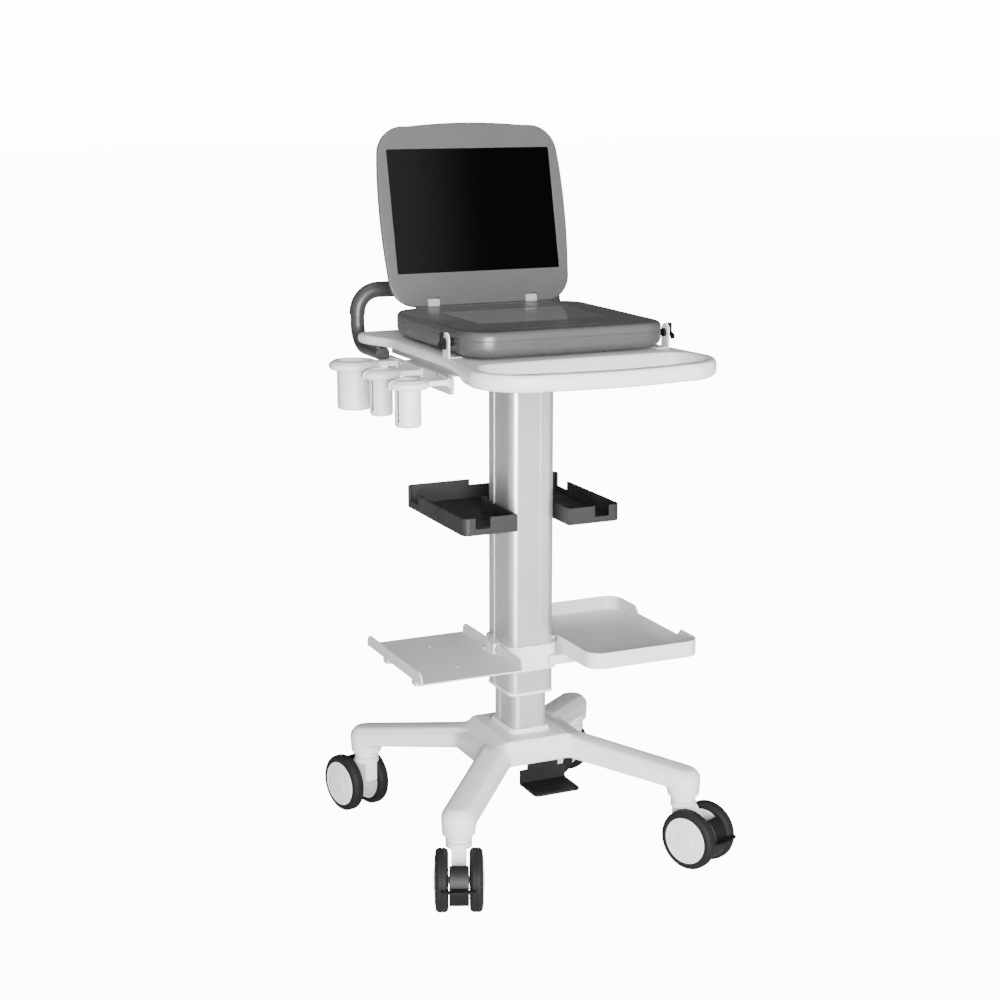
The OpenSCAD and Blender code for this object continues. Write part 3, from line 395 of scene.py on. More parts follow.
# %% Worktop
TOP_Z, BOARD, DEEPER = 856.0, 16.0, 10.0
BACK_Y, FRONT_Y = 218.0, -350.0
WAIST_X, BACK_X, FRONT_X = 187.0, 211.0, 204.0
BOW, GRIP_BAR, SLOT_X, SLOT_END = 0.0009, 23, 149, 34


def ease(t):
    t = min(1.0, max(0.0, t))
    return t * t * (3 - 2 * t)


def side_x(y):
    return (WAIST_X + (BACK_X - WAIST_X) * ease((y - 95.0) / 90.0)
            + (FRONT_X - WAIST_X) * ease((-95.0 - y) / 195.0))


def front_y(x, inset=0.0):
    return FRONT_Y + inset + BOW * x * x


def arc(cx, cy, rx, ry, start, end, steps):
    return [(cx + rx * math.cos(math.radians(start + (end - start) * k / steps)),
             cy + ry * math.sin(math.radians(start + (end - start) * k / steps)))
            for k in range(steps + 1)]


def whole(half):
    return half + [(-x, y) for x, y in reversed(half[1:-1])]


def spread_out(points, distance):
    out = []
    for k, (x, y) in enumerate(points):
        ax, ay = points[k - 1]
        bx, by = points[(k + 1) % len(points)]
        length = math.hypot(bx - ax, by - ay)
        out.append((x + distance * (by - ay) / length, y - distance * (bx - ax) / length))
    return out


corner_r = 88.0
corner_x = FRONT_X - corner_r
corner_y = front_y(corner_x) + corner_r * 0.98
outline = whole([(0.0, BACK_Y)] + [(x, BACK_Y) for x in (60.0, 120.0)]
                + arc(181, 188, 30, 30, 90, 0, 12)
                + [(side_x(y), y) for y in range(176, -240, -9)]
                + arc(corner_x, corner_y, corner_r, corner_r, -4, -78, 22)
                + [(x, front_y(x)) for x in (112, 90, 68, 45, 22)] + [(0.0, front_y(0))])[::-1]
slot_back = [(x, -207 - 0.0002 * x * x) for x in (0, 25, 50, 75, 100, 125, SLOT_X)]
slot_front = [(x, front_y(x, GRIP_BAR)) for x in (SLOT_X, 125, 100, 75, 50, 25, 0)]
mid_y = (slot_back[-1][1] + slot_front[0][1]) / 2
half_gap = (slot_back[-1][1] - slot_front[0][1]) / 2
slot_end = arc(SLOT_X, mid_y, SLOT_END, half_gap, 86, -86, 22)
slot_loop = whole(slot_back[:-1] + slot_end + slot_front[1:])[::-1]


def lower_z(y):
    return TOP_Z - BOARD - DEEPER * ease((-182.0 - y) / 30.0)


edge_profile = [(0, 7.5), (.03, 5), (.1, 2.6), (.24, .8), (.42, .1), (.58, 0), (.74, .4),
                (.87, 1.6), (.95, 3.2), (.99, 5), (1, 7)]
bm = bmesh.new()
rings = [[(x, y, lower_z(y) + (TOP_Z - lower_z(y)) * u) for x, y in spread_out(outline, -inset)]
         for u, inset in edge_profile]
outside = stack(bm, rings, caps=(False, False))
hole_profile = [(0, 5), (.05, 2.6), (.16, .8), (.35, 0), (.65, 0), (.84, .8), (.95, 2.6), (1, 5)]
hole_depth = BOARD + DEEPER
rings = [ring_at(spread_out(slot_loop, grow), TOP_Z - hole_depth + hole_depth * u)
         for u, grow in hole_profile]
inside = stack(bm, rings, caps=(False, False))
fill_between(bm, outside[-1], inside[-1])
fill_between(bm, outside[0], inside[0])
worktop = deliver(to_object(bm, "worktop_board", 50), "lift", "worktop_white", "worktop")
print("worktop", len(worktop.data.polygons), "faces")

# %% [markdown]
# ## Laptop unit
#
# A lower shell with a deep round edge, and a deck with a recess for the smoked
# control panel. The two meet at a thin shadow gap. Both are stacks of rounded
# rectangles, which is quick and keeps the corners true. The finger groove near the
# front is cut with a long ellipsoid. A low ridge closes the gap under the lid.

# %% Laptop unit
UNIT_W, UNIT_D, UNIT_Y, UNIT_R = 344.0, 339.0, -20.5, 45.0


def unit_ring(z, inset):
    shape = rounded_rect(UNIT_W - 2 * inset, UNIT_D - 2 * inset, UNIT_R - 0.6 * inset, 0, UNIT_Y)
    return ring_at(shape, z)


bm = bmesh.new()
stack(bm, [unit_ring(z, inset) for z, inset in (
    (859, 15), (859.5, 12), (861, 8.4), (863.5, 5), (867, 2.4), (871, .8), (875, .1), (885.4, 0),
    (885.8, .15), (885.9, .4))])
deliver(to_object(bm, "unit_lower_case"), "lift", "unit_grey", "unit_lower_shell")

bm = bmesh.new()
panel = rounded_rect(232, 160, 6, 5, UNIT_Y + 14)
recess = [ring_at(spread_out(panel, grow), z)
          for grow, z in ((1.2, 900), (.4, 899.8), (0, 899.2), (0, 898.4))]
stack(bm, [unit_ring(z, inset) for z, inset in (
    (886.1, .4), (886.2, .15), (886.6, 0), (889, 0), (892.5, .25), (895.6, 1.1), (898, 2.8),
    (899.4, 5), (900, 8), (900, 12))] + recess)
deck = to_object(bm, "unit_deck_top")
bm = bmesh.new()
bmesh.ops.create_uvsphere(bm, u_segments=48, v_segments=24, radius=1.0)
finger_groove = Matrix.Translation((0, -162, 904.4)) @ Matrix.Diagonal((205, 10, 6.5, 1))
bmesh.ops.transform(bm, matrix=finger_groove, verts=bm.verts)
cut(deck, to_object(bm, "groove_tool"))
deliver(deck, "lift", "unit_grey", "unit_deck")

bm = bmesh.new()
stack(bm, [ring_at(spread_out(panel, -inset), z) for inset, z in (
    (.5, 898.45), (.4, 899.1), (.9, 899.4), (1.8, 899.45))])
deliver(to_object(bm, "smoked_panel"), "lift", "panel_grey", "control_panel")
for node in ("unit_feet", "battery_pack", "hinge_arms"):
    soften(node, 0.8)

bm = bmesh.new()
block(bm, (250, 8.4, 5.2), (0, 144.2, 898.4), edge=1.2)
deliver(to_object(bm, "deck_rear_lip"), "lift", "unit_grey")

# %% [markdown]
# ## Lid and screen
#
# The lid leans back on its hinge. It is built lying down in the lid's own plane,
# with its bulged sides and arched top, and one matrix stands it up. The hinge
# recesses are cut from it, so the arms stay clear when it folds.

# %% Lid
HINGE, LEAN = (0, 156, 906.5), 13.27
LID = Matrix.Translation(HINGE) @ Matrix.Rotation(math.radians(90 - LEAN), 4, "X")
LID_HALF, LID_LOW, LID_HIGH, LID_R = 171.0, -7.2, 300.8, 50.0
BULGE, ARCH = 5, 7


def lid_outline():
    low, high, r = LID_LOW, LID_HIGH, LID_R
    low_r, edge_x = r * .92, LID_HALF - BULGE
    side = [(LID_HALF - BULGE * (2 * t - 1) ** 2, low + r + (high - low - 2 * r) * t)
            for t in [k / 12 for k in range(13)]]
    reach = edge_x - r
    top = [(reach * (1 - k / 9), high - ARCH * (reach * (1 - k / 9) / (LID_HALF - r)) ** 2)
           for k in range(1, 9)]
    half = ([(0.0, low), ((edge_x - low_r) * .5, low)]
            + arc(edge_x - low_r, low + low_r, low_r, low_r, -90, 0, 12) + side[1:-1]
            + arc(edge_x - r, high - BULGE - r, r, r, 8, 82, 13) + top + [(0.0, high)])
    return whole(half)


def stood(points, z):
    return [tuple(LID @ Vector((x, y, z))) for x, y in points]


def notch_tools():
    tools = []
    for s in (-1, 1):
        bm = bmesh.new()
        block(bm, (22.0, 20.2, 80), (s * 90, -2.8, 0), LID, edge=0)
        tools.append(to_object(bm, "notch"))
    return tools


lid_in = lid_outline()
bm = bmesh.new()
stack(bm, [stood(spread_out(lid_in, grow), z) for z, grow in (
    (-11.1, -15), (-10.7, -11), (-9.6, -7), (-7.6, -3.8), (-5, -1.6), (-2.4, -.4), (-.9, 0),
    (-.5, -.2), (-.3, -.8))])
lid_shell = to_object(bm, "lid_shell")
cut(lid_shell, *notch_tools())
deliver(lid_shell, "lid", "unit_grey", "lid_back")

screen = rounded_rect(298.5, 207.8, 3, 0, 152.8)
bm = bmesh.new()
outer = stack(bm, [stood(spread_out(lid_in, grow), z) for z, grow in (
    (-.1, -.3), (.2, 0), (2.8, 0), (4.0, -.4), (4.7, -1.1), (4.9, -2.0))], caps=(False, False))
inner = stack(bm, [stood(spread_out(screen, grow), z) for z, grow in (
    (-.1, 0), (3.9, 0), (4.6, .3), (4.9, 1.0))], caps=(False, False))
fill_between(bm, outer[-1], inner[-1])
fill_between(bm, outer[0], inner[0])
bezel = to_object(bm, "lid_frame")
cut(bezel, *notch_tools())
deliver(bezel, "lid", "unit_grey", "lid_bezel")

bm = bmesh.new()
stack(bm, [stood(spread_out(screen, -inset), z)
           for z, inset in ((.1, .4), (3.6, .25), (4.0, .5), (4.1, 1.0))])
deliver(to_object(bm, "screen_pane"), "lid", "screen_black", "screen_glass")
soften("hinge_pins", 0.5)

# %% [markdown]
# ## Rear handle
#
# Bent tube that comes forward under the worktop, with a slightly thicker sleeve on
# its upper part. It follows a path, so Geometry Nodes sweep it: the tree takes a
# curve and turns it into a tube of the given radius. A bent-metal look needs many
# rings in the bends, which are in the path itself.

# %% Rear handle
def tube_tree():
    tree = bpy.data.node_groups.new("tube_along_path", "GeometryNodeTree")
    face = tree.interface
    face.new_socket(name="Geometry", in_out="INPUT", socket_type="NodeSocketGeometry")
    face.new_socket(name="Radius", in_out="INPUT", socket_type="NodeSocketFloat")
    face.new_socket(name="Sides", in_out="INPUT", socket_type="NodeSocketInt")
    face.new_socket(name="Finish", in_out="INPUT", socket_type="NodeSocketMaterial")
    face.new_socket(name="Geometry", in_out="OUTPUT", socket_type="NodeSocketGeometry")
    node, link = tree.nodes.new, tree.links.new
    enter, leave = node("NodeGroupInput"), node("NodeGroupOutput")
    circle, sweep = node("GeometryNodeCurvePrimitiveCircle"), node("GeometryNodeCurveToMesh")
    real, paint = node("GeometryNodeRealizeInstances"), node("GeometryNodeSetMaterial")
    sweep.inputs["Fill Caps"].default_value = True
    link(enter.outputs["Radius"], circle.inputs["Radius"])
    link(enter.outputs["Sides"], circle.inputs["Resolution"])
    link(enter.outputs["Geometry"], sweep.inputs["Curve"])
    link(circle.outputs["Curve"], sweep.inputs["Profile Curve"])
    link(sweep.outputs["Mesh"], real.inputs["Geometry"])
    link(real.outputs["Geometry"], paint.inputs["Geometry"])
    link(enter.outputs["Finish"], paint.inputs["Material"])
    link(paint.outputs["Geometry"], leave.inputs["Geometry"])
    return tree


def run_tree(source, tree, name, **values):
    grow = source.modifiers.new(tree.name, "NODES")
    grow.node_group = tree
    for item in tree.interface.items_tree:
        if item.item_type == "SOCKET" and item.in_out == "INPUT" and item.name in values:
            grow[item.identifier] = values[item.name]
    bpy.context.view_layer.update()
    graph = bpy.context.evaluated_depsgraph_get()
    mesh = bpy.data.meshes.new_from_object(source.evaluated_get(graph))
    bm = bmesh.new()
    bm.from_mesh(mesh)
    bmesh.ops.scale(bm, vec=(1 / MM,) * 3, verts=bm.verts)
    bpy.data.objects.remove(source)
    return to_object(bm, name)


def path_object(points):
    curve = bpy.data.curves.new("path", "CURVE")
    curve.dimensions = "3D"
    line = curve.splines.new("POLY")
    line.points.add(len(points) - 1)
    for k, p in enumerate(points):
        line.points[k].co = (*(c * MM for c in p), 1.0)
    made = bpy.data.objects.new("path", curve)
    bpy.context.scene.collection.objects.link(made)
    return made


def mirrored(half):
    return half + [(-x, y, z) for x, y, z in reversed(half)]


tubes = tube_tree()
HANDLE_X, HANDLE_Y, BEND = 186.0, 262.0, 38
TUBE_R, SLEEVE_R = 12 * MM, 13.5 * MM
upper_bend = [(x, HANDLE_Y, z) for x, z in arc(148, 882, BEND, BEND, 0, 90, 14)]
lower_bend = [(HANDLE_X, y, z) for y, z in arc(224, 865.5, BEND, BEND, -90, 0, 14)]
handle_path = mirrored([(HANDLE_X, 142.0, 827.5)] + lower_bend + upper_bend)
grip_path = mirrored([(HANDLE_X, HANDLE_Y, z) for z in (879.0, 880.5)] + upper_bend)
tube = run_tree(path_object(handle_path), tubes, "handle_tube", Radius=TUBE_R, Sides=40,
                Finish=finishes["handle_grey"])
deliver(tube, "lift", "handle_grey", "rear_handle")
sleeve = run_tree(path_object(grip_path), tubes, "handle_sleeve", Radius=SLEEVE_R, Sides=40,
                  Finish=finishes["handle_grey"])
deliver(sleeve, "lift", "handle_grey", "handle_grip")
bm = bmesh.new()
for s in (-1, 1):
    block(bm, (26, 44, 4), (s * 184, 164, 838), edge=1.2)
deliver(to_object(bm, "handle_plates"), "lift", "handle_grey")

# %% [markdown]
# ## Probe holders
#
# Thick rounded rings on arms, and cups that hang in them. The rings and cups are
# lathed. The notches and slits that let a probe's lead through are cut afterwards.

# %% Probe holders
# x, y, bore radius, depth and whether the holder has a slit for a lead
HOLDERS = ((-238.0, -98.0, 18.0, 72.0, True), (-239.0, 14.0, 16.0, 72.0, True),
           (-245.0, 122.0, 25.5, 78.0, False))
RING_LOW, RING_HIGH = 809.0, 821.0
RING_WALL, RING_PLAY, CUP_WALL = 12.5, 3.0, 2.5
SLIT = math.radians(15)


def slit_tool(x, y, reach, width, low, high, radius):
    bm = bmesh.new()
    place = Matrix.Translation((x, y, 0)) @ Matrix.Rotation(SLIT, 4, "Z")
    block(bm, (reach, width, high - low), (-radius, 0, (low + high) / 2), place, edge=0)
    return to_object(bm, "slit_tool")


ring_bm, tools = bmesh.new(), []
for x, y, bore, depth, open_side in HOLDERS:
    inner_r = bore + RING_PLAY
    outer_r = inner_r + RING_WALL
    section = [(inner_r, RING_LOW + 2), (inner_r + .8, RING_LOW + .6), (inner_r + 2.5, RING_LOW)]
    section += [(outer_r - 5 + 5 * math.cos(math.radians(a)),
                 (RING_LOW + 5 if a < 0 else RING_HIGH - 5) + 5 * math.sin(math.radians(a)))
                for a in (-90, -70, -50, -30, -10, 10, 30, 50, 70, 90)]
    section += [(inner_r + 2.5, RING_HIGH), (inner_r + .8, RING_HIGH - .6),
                (inner_r, RING_HIGH - 2)]
    lathe(ring_bm, section, Matrix.Translation((x, y, 0)), 72)
    if open_side:
        tools.append(slit_tool(x, y, 22, 10, RING_LOW - 5, RING_HIGH + 9, inner_r + 6))
rings = to_object(ring_bm, "holder_rings")
cut(rings, *tools)
bm = bmesh.new()
bm.from_mesh(rings.data)
bmesh.ops.scale(bm, vec=(1 / MM,) * 3, verts=bm.verts)
bpy.data.objects.remove(rings)
for x, y, bore, depth, open_side in HOLDERS:
    start = x + bore + 12
    block(bm, (-173 - start, 22, 9), ((start - 173) / 2, y, 815), edge=1.6)
    block(bm, (3, 30, 15), (-174.5, y, 815), edge=1.0)
deliver(to_object(bm, "holder_rings_and_arms"), "lift", "cup_white", "cup_rings")

cup_nodes = ("probe_cup_front", "probe_cup_middle", "gel_cup")
for node, (x, y, bore, depth, open_side) in zip(cup_nodes, HOLDERS):
    outer_r, low = bore + CUP_WALL, RING_HIGH - depth
    section = [(0, low), (outer_r - 5, low), (outer_r - 2.2, low + .7), (outer_r - .6, low + 2.4),
               (outer_r, low + 5), (outer_r, RING_HIGH), (outer_r + 7, RING_HIGH),
               (outer_r + 7.6, RING_HIGH + .8), (outer_r + 7, RING_HIGH + 1.7),
               (bore + 1.2, RING_HIGH + 2), (bore + .2, RING_HIGH + 1.2),
               (bore, RING_HIGH), (bore, low + 3), (bore - .6, low + 2.5), (0, low + 2.5)]
    bm = bmesh.new()
    lathe(bm, section, Matrix.Translation((x, y, 0)), 64)
    cup = to_object(bm, node + "_shell")
    if open_side:
        cut(cup, slit_tool(x, y, 18, 8, low + 9, RING_HIGH + 9, outer_r))
    deliver(cup, "lift", "cup_white", node)
soften("holder_rail", 1.0)

# %% [markdown]
# ## Column, trays, strap and pedal
#
# These are bent, drawn or moulded close to their CAD shape, so softened copies
# serve. The width of the soft edge follows the way each is made: a drawn tube is
# crisp, sheet has the radius of its thickness, and a moulding is rounder.

# %% Softened pieces
SOFT_EDGES = {
    "outer_column": .35, "inner_column": .35, "column_end_cap": 1.0, "hub_bezel": 1.0,
    "column_head": 1.5, "worktop_under_shell": 2.0, "instrument_tray": 1.1,
    "instrument_tray_pads": .6,
    "strap_front": 1.2, "strap_rear": 1.2, "lower_shelf": .9, "basket": 1.1, "basket_boss": 1.2,
    "unit_clamps": .7, "thumbscrew_left": .7, "thumbscrew_right": .7, "foot_pedal": 1.4,
    "pedal_bracket": .8, "column_glides": .5,
}
for node, edge in SOFT_EDGES.items():
    soften(node, edge)
print("softened:", ", ".join(SOFT_EDGES))

# %% [markdown]
# ## Base casting
#
# Four legs run into one hub as a single casting, with wide fillets in the valleys.
# Modelling each fillet by hand is slow. Instead the CAD solid is swollen, fused into
# one skin of small even cells and shrunk back: valleys that closed stay filled, and
# outer edges come back almost where they were. A little smoothing gives the cast look.

# %% Base
def fused_casting(node, cell, fillet):
    """Fuse a CAD solid into one skin; `cell` and `fillet` are in millimetres."""
    bm = bmesh.new()
    bm.from_mesh(frame["nodes"][node].data)
    bmesh.ops.remove_doubles(bm, verts=bm.verts, dist=CAD_WELD)
    mesh = bpy.data.meshes.new("casting")
    bm.to_mesh(mesh)
    bm.free()
    made = bpy.data.objects.new("base_casting", mesh)
    bpy.context.scene.collection.objects.link(made)
    for push in (fillet, -fillet):
        skin = made.modifiers.new("even cells", "REMESH")
        skin.mode, skin.voxel_size = "VOXEL", cell * MM
        swell = made.modifiers.new("swell", "DISPLACE")
        swell.mid_level, swell.strength = 0.0, push * MM
    calm = made.modifiers.new("calm", "SMOOTH")
    calm.factor, calm.iterations = 0.5, 4
    bake_modifiers(made, 60)
    return deliver(made, "base", "cast_white", node)


casting = fused_casting("base_frame", 2.6, 7.0)
print("base casting", len(casting.data.polygons), "faces")

# %% [markdown]
# ## Casters
#
# Each caster has a collar with two turned lines, a fork housing, two wheels and a
# brake lever. Wheels and collars are lathed, the fork is softened, and the lever is
# built from a curved shoe, a lens-shaped tread and two ears.

# %% Casters
# name, pivot x, pivot y and the way the caster trails, in degrees
CORNERS = (("fl", -203, -206, -113), ("fr", 203, -206, -66),
           ("bl", -203, 206, 105), ("br", 203, 206, 120))
WHEEL_R, TRAIL, GAP = 50.0, 32.0, 16.0
stem_section = [(0, 65.5), (6, 65.5), (6, 104), (19.6, 104), (20.7, 104.5), (21, 105.4),
                (21, 106.6), (20.2, 107), (20.2, 107.9), (21, 108.3), (21, 111), (20.3, 111.3),
                (20.3, 112), (21, 112.3), (20.7, 113.4), (19.8, 114), (6, 114), (6, 142),
                (0, 142)]
disc_section = [(6.05, .5), (12, .5), (12, 4), (33, 6), (35, 1), (39, 1), (39, 21),
                (38.6, 21.8), (37.6, 22.4), (36.2, 22.6), (35.4, 22.3), (35.1, 21.6),
                (34.3, 21.5), (33.8, 22.2), (26, 22.8), (19.6, 23), (18.7, 22.7), (18.4, 21.6),
                (17.4, 21.6), (17.1, 22.9), (16.2, 23.6), (9, 24.1), (0, 24.2), (0, 19),
                (6.05, 19)]
tyre_section = [(39, .6), (42, .6)]
tyre_section += [(43.2 + 6.8 * math.cos(math.radians(a)), 7.4 + 6.8 * math.sin(math.radians(a)))
                 for a in (-90, -65, -40, -15, 0)]
tyre_section += [(50, 10.2), (49.3, 10.6), (49.3, 11.4), (50, 11.8)]
tyre_section += [(43.2 + 6.8 * math.cos(math.radians(a)), 14.6 + 6.8 * math.sin(math.radians(a)))
                 for a in (0, 15, 40, 65, 90)]
tyre_section += [(42, 21.4), (39, 21.4)]


def brake_lever(name, place):
    """Shoe between the wheels, ears on the axle and a lens-shaped tread outside."""
    bm = bmesh.new()
    across = (-15.4, -14.6, -8, 0, 8, 14.6, 15.4)
    shoe_rings = []
    for degrees in range(-38, 57, 6):
        a = math.radians(degrees)
        ends = 1.5 if degrees in (-38, 52) else 0.0
        ring = [(27.5 + (0.8 if abs(y) > 15 else 0), y) for y in across]
        ring += [(47 - ends - (0.9 if abs(y) > 15 else 0), y) for y in reversed(across)]
        shoe_rings.append([tuple(place @ Vector((r * math.cos(a), y, r * math.sin(a))))
                           for r, y in ring])
    stack(bm, shoe_rings)
    tread = []
    for z, shrink in ((2.4, .8), (3.0, .1), (5.6, 0), (6.4, .7)):
        edge = [(53.6, y) for y in (-24, -12, 0, 12, 24)]
        edge += arc(54.0, 0, 8.5, 30.0, 72, -72, 16)
        tread.append([tuple(place @ Vector((x + (shrink if x < 54 else -shrink),
                                            y * (1 - shrink / 40), z)))
                      for x, y in edge])
    stack(bm, tread)
    block(bm, (12, 26, 3.6), (50, 0, 4.4), place, edge=0.8)
    for s in (-1, 1):
        block(bm, (34, 2.4, 20), (15, s * 13.6, 1), place, edge=0.7)
    deliver(to_object(bm, "brake_" + name + "_shaped"), "brake_" + name, "knob_black",
            "brake_lever_" + name)


bm = bmesh.new()
for name, px, py, turn in CORNERS:
    lathe(bm, stem_section, Matrix.Translation((px, py, 0)), 56)
deliver(to_object(bm, "caster_collars"), "base", "caster_white", "caster_stems")
for name, px, py, turn in CORNERS:
    place = Matrix.Translation((px, py, 0)) @ Matrix.Rotation(math.radians(turn), 4, "Z")
    for kind, section, slot, steps in (("wheel_hubs", disc_section, "caster_white", 80),
                                       ("tyres", tyre_section, "tyre_black", 96)):
        bm = bmesh.new()
        for s in (-1, 1):
            lathe(bm, section, place @ Matrix.Translation((TRAIL, s * GAP, WHEEL_R))
                  @ Matrix.Rotation(math.radians(-s * 90), 4, "X"), steps)
        deliver(to_object(bm, f"{kind}_{name}_turned"), "wheels_" + name, slot, f"{kind}_{name}")
    soften("fork_" + name, 1.6)
    brake_lever(name, place @ Matrix.Translation((TRAIL, 0, WHEEL_R)))

# %% [markdown]
# ## Screws
#
# Socket screws hold the strap, the tray and the rail. They repeat, so Geometry
# Nodes set one head on every point of a small cloud, turned to the point's own
# direction. A head is a short cylinder with a six-sided socket cut into it.

# %% Screws
def screw_tree():
    tree = bpy.data.node_groups.new("socket_screws", "GeometryNodeTree")
    face = tree.interface
    face.new_socket(name="Geometry", in_out="INPUT", socket_type="NodeSocketGeometry")
    face.new_socket(name="Head Radius", in_out="INPUT", socket_type="NodeSocketFloat")
    face.new_socket(name="Head Height", in_out="INPUT", socket_type="NodeSocketFloat")
    face.new_socket(name="Finish", in_out="INPUT", socket_type="NodeSocketMaterial")
    face.new_socket(name="Geometry", in_out="OUTPUT", socket_type="NodeSocketGeometry")
    node, link = tree.nodes.new, tree.links.new
    enter, leave = node("NodeGroupInput"), node("NodeGroupOutput")
    head, socket = node("GeometryNodeMeshCylinder"), node("GeometryNodeMeshCylinder")
    head.inputs["Vertices"].default_value = 28
    socket.inputs["Vertices"].default_value = 6
    half, deep = node("ShaderNodeMath"), node("ShaderNodeVectorMath")
    half.operation = "MULTIPLY"
    half.inputs[1].default_value = 0.55
    deep.operation = "SCALE"
    deep.inputs[0].default_value = (0, 0, 1)
    shift, carve = node("GeometryNodeTransform"), node("GeometryNodeMeshBoolean")
    carve.operation = "DIFFERENCE"
    aim, turn = node("GeometryNodeInputNamedAttribute"), node("FunctionNodeAlignRotationToVector")
    aim.data_type = "FLOAT_VECTOR"
    aim.inputs["Name"].default_value = "aim"
    turn.axis = "Z"
    spread, real = node("GeometryNodeInstanceOnPoints"), node("GeometryNodeRealizeInstances")
    paint = node("GeometryNodeSetMaterial")
    link(enter.outputs["Head Radius"], head.inputs["Radius"])
    link(enter.outputs["Head Height"], head.inputs["Depth"])
    link(enter.outputs["Head Radius"], half.inputs[0])
    link(half.outputs[0], socket.inputs["Radius"])
    link(enter.outputs["Head Height"], socket.inputs["Depth"])
    link(enter.outputs["Head Height"], deep.inputs["Scale"])
    link(socket.outputs["Mesh"], shift.inputs["Geometry"])
    link(deep.outputs["Vector"], shift.inputs["Translation"])
    shift.inputs["Scale"].default_value = (1, 1, 1.4)
    link(head.outputs["Mesh"], carve.inputs["Mesh 1"])
    link(shift.outputs["Geometry"], carve.inputs["Mesh 2"])
    link(enter.outputs["Geometry"], spread.inputs["Points"])
    link(carve.outputs["Mesh"], spread.inputs["Instance"])
    link(aim.outputs["Attribute"], turn.inputs["Vector"])
    link(turn.outputs["Rotation"], spread.inputs["Rotation"])
    link(spread.outputs["Instances"], real.inputs["Geometry"])
    link(real.outputs["Geometry"], paint.inputs["Geometry"])
    link(enter.outputs["Finish"], paint.inputs["Material"])
    link(paint.outputs["Geometry"], leave.inputs["Geometry"])
    return tree


def cloud(places):
    mesh = bpy.data.meshes.new("cloud")
    mesh.from_pydata([tuple(c * MM for c in point) for point, _ in places], [], [])
    aim = mesh.attributes.new("aim", "FLOAT_VECTOR", "POINT")
    for k, (_, direction) in enumerate(places):
        aim.data[k].vector = direction
    made = bpy.data.objects.new("cloud", mesh)
    bpy.context.scene.collection.objects.link(made)
    return made


HEAD_R, HEAD_H = 4.5 * MM, 3 * MM
screws = screw_tree()
strap_places = [((s * 51.5, t * 17.6, z), (0, t, 0))
                for s in (-1, 1) for t in (-1, 1) for z in (320, 343)]
tray_places = [((s * 7, 59.3, 573), (0, 1, 0)) for s in (-1, 1)]
rail_places = [((-174.0, y, 817), (-1, 0, 0)) for y in (-60, 90)]
head = run_tree(cloud(strap_places + tray_places + rail_places), screws, "socket_heads",
                **{"Head Radius": HEAD_R, "Head Height": HEAD_H, "Finish": finishes["steel"]})
deliver(head, "lift", "steel")

# %% [markdown]
# ## Everything else keeps its CAD shape
#
# What is left is hidden inside the machine or already has the right shape, such as
# the rods and the bolts. It only gets its finish.

# %% Remaining nodes
for node, shape in frame["nodes"].items():
    shape.data.materials.clear()
    shape.data.materials.append(finishes[slot_of_node[node]])

# %% [markdown]
# ## Floor, light and camera
#
# A plain pale floor and a bright world, with one large soft lamp from the front
# left and a weak one above. The camera stands at about eye height, far enough back for a calm
# perspective.

# %% Stage
FLOOR_GLOW, BACKDROP = 12.0, 14.0           # seen by the camera only
DARK_SIDE, BRIGHT_SIDE = 0.12, 1.15         # light of the room, back and front
TOWARDS_FRONT = (-0.25, -0.95, 0.1)
LENS, SENSOR = 67.306, 36
bpy.ops.mesh.primitive_plane_add(size=60)
floor = bpy.context.object
floor.name = "floor"
floor_paint = bpy.data.materials.new("pale floor")
floor_paint.use_nodes = True
paint = floor_paint.node_tree
paint.nodes["Principled BSDF"].inputs["Base Color"].default_value = (.9, .9, .9, 1)
paint.nodes["Principled BSDF"].inputs["Roughness"].default_value = 0.9
paint.nodes["Principled BSDF"].inputs["Emission Color"].default_value = (1, 1, 1, 1)
seen = paint.nodes.new("ShaderNodeMath")
seen.operation = "MULTIPLY"
seen.inputs[1].default_value = FLOOR_GLOW
paint.links.new(paint.nodes.new("ShaderNodeLightPath").outputs["Is Camera Ray"], seen.inputs[0])
paint.links.new(seen.outputs[0], paint.nodes["Principled BSDF"].inputs["Emission Strength"])
floor.data.materials.append(floor_paint)

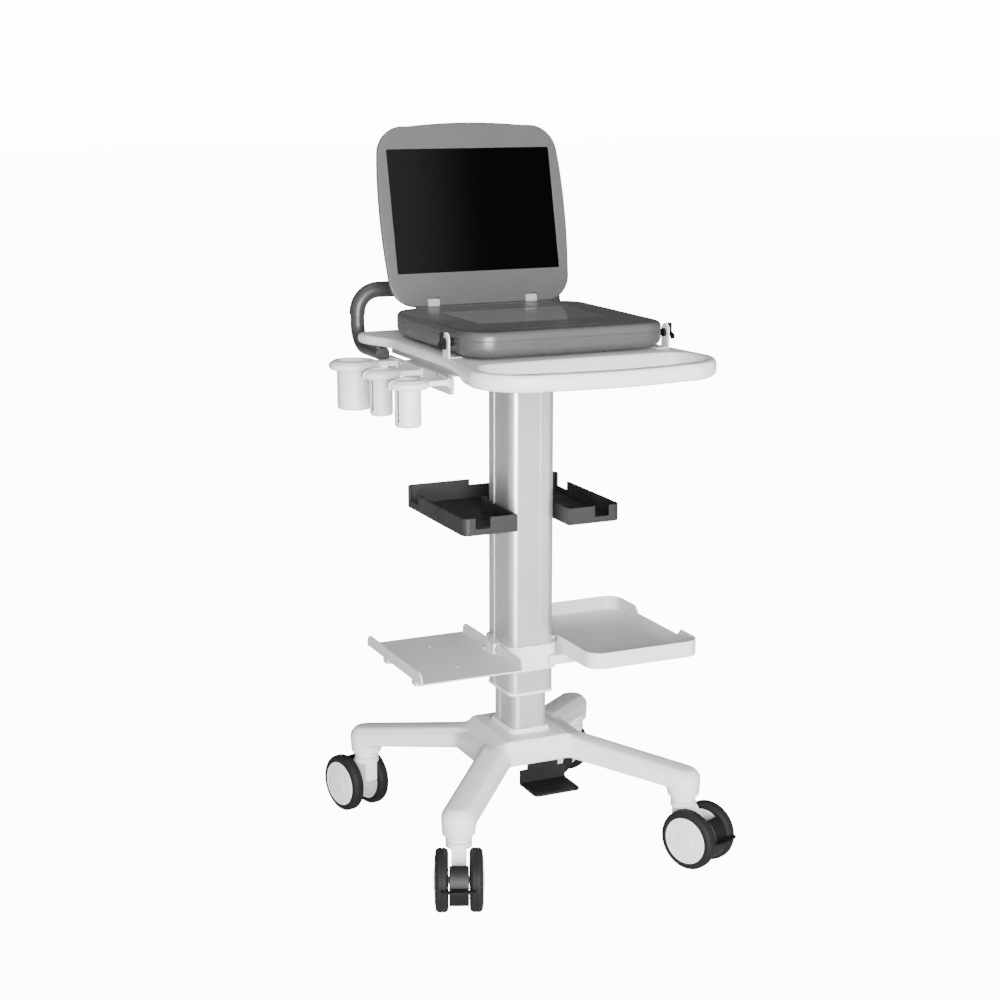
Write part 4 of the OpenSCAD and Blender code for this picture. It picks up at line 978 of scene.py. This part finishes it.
world = bpy.data.worlds.new("bright room")
bpy.context.scene.world = world
world.use_nodes = True
air = world.node_tree
dim, bright = air.nodes["Background"], air.nodes.new("ShaderNodeBackground")
dim.inputs["Color"].default_value = (1, 1, 1, 1)
bright.inputs["Color"].default_value = (1, 1, 1, 1)
bright.inputs["Strength"].default_value = BACKDROP
towards = air.nodes.new("ShaderNodeVectorMath")
towards.operation = "DOT_PRODUCT"
towards.inputs[1].default_value = TOWARDS_FRONT
fade = air.nodes.new("ShaderNodeMapRange")
air.links.new(air.nodes.new("ShaderNodeTexCoord").outputs["Generated"], towards.inputs[0])
air.links.new(towards.outputs["Value"], fade.inputs["Value"])
fade.inputs["From Min"].default_value = -0.3
fade.inputs["To Min"].default_value = DARK_SIDE
fade.inputs["To Max"].default_value = BRIGHT_SIDE
air.links.new(fade.outputs["Result"], dim.inputs["Strength"])
blend = air.nodes.new("ShaderNodeMixShader")
air.links.new(air.nodes.new("ShaderNodeLightPath").outputs["Is Camera Ray"], blend.inputs["Fac"])
air.links.new(dim.outputs[0], blend.inputs[1])
air.links.new(bright.outputs[0], blend.inputs[2])
air.links.new(blend.outputs[0], air.nodes["World Output"].inputs["Surface"])


def soft_lamp(name, place, target, size, power):
    lamp = bpy.data.lights.new(name, "AREA")
    lamp.size, lamp.energy = size, power
    made = bpy.data.objects.new(name, lamp)
    bpy.context.scene.collection.objects.link(made)
    made.location = place
    made.rotation_euler = (Vector(target) - Vector(place)).to_track_quat("-Z", "Y").to_euler()
    return made


soft_lamp("front lamp", (-1.1, -4.3, 0.9), (0, 0, .6), 2.2, 620)
soft_lamp("top lamp", (-0.6, 0.4, 3.4), (0, 0, .6), 1.6, 10)

camera_data = bpy.data.cameras.new("camera")
camera_data.lens, camera_data.sensor_width = LENS, SENSOR
camera = bpy.data.objects.new("camera", camera_data)
bpy.context.scene.collection.objects.link(camera)
camera.location = (-1.2877, -2.73685, 1.2792)
camera.rotation_euler = (math.radians(77.17), 0, math.radians(-24.55))
bpy.context.scene.camera = camera
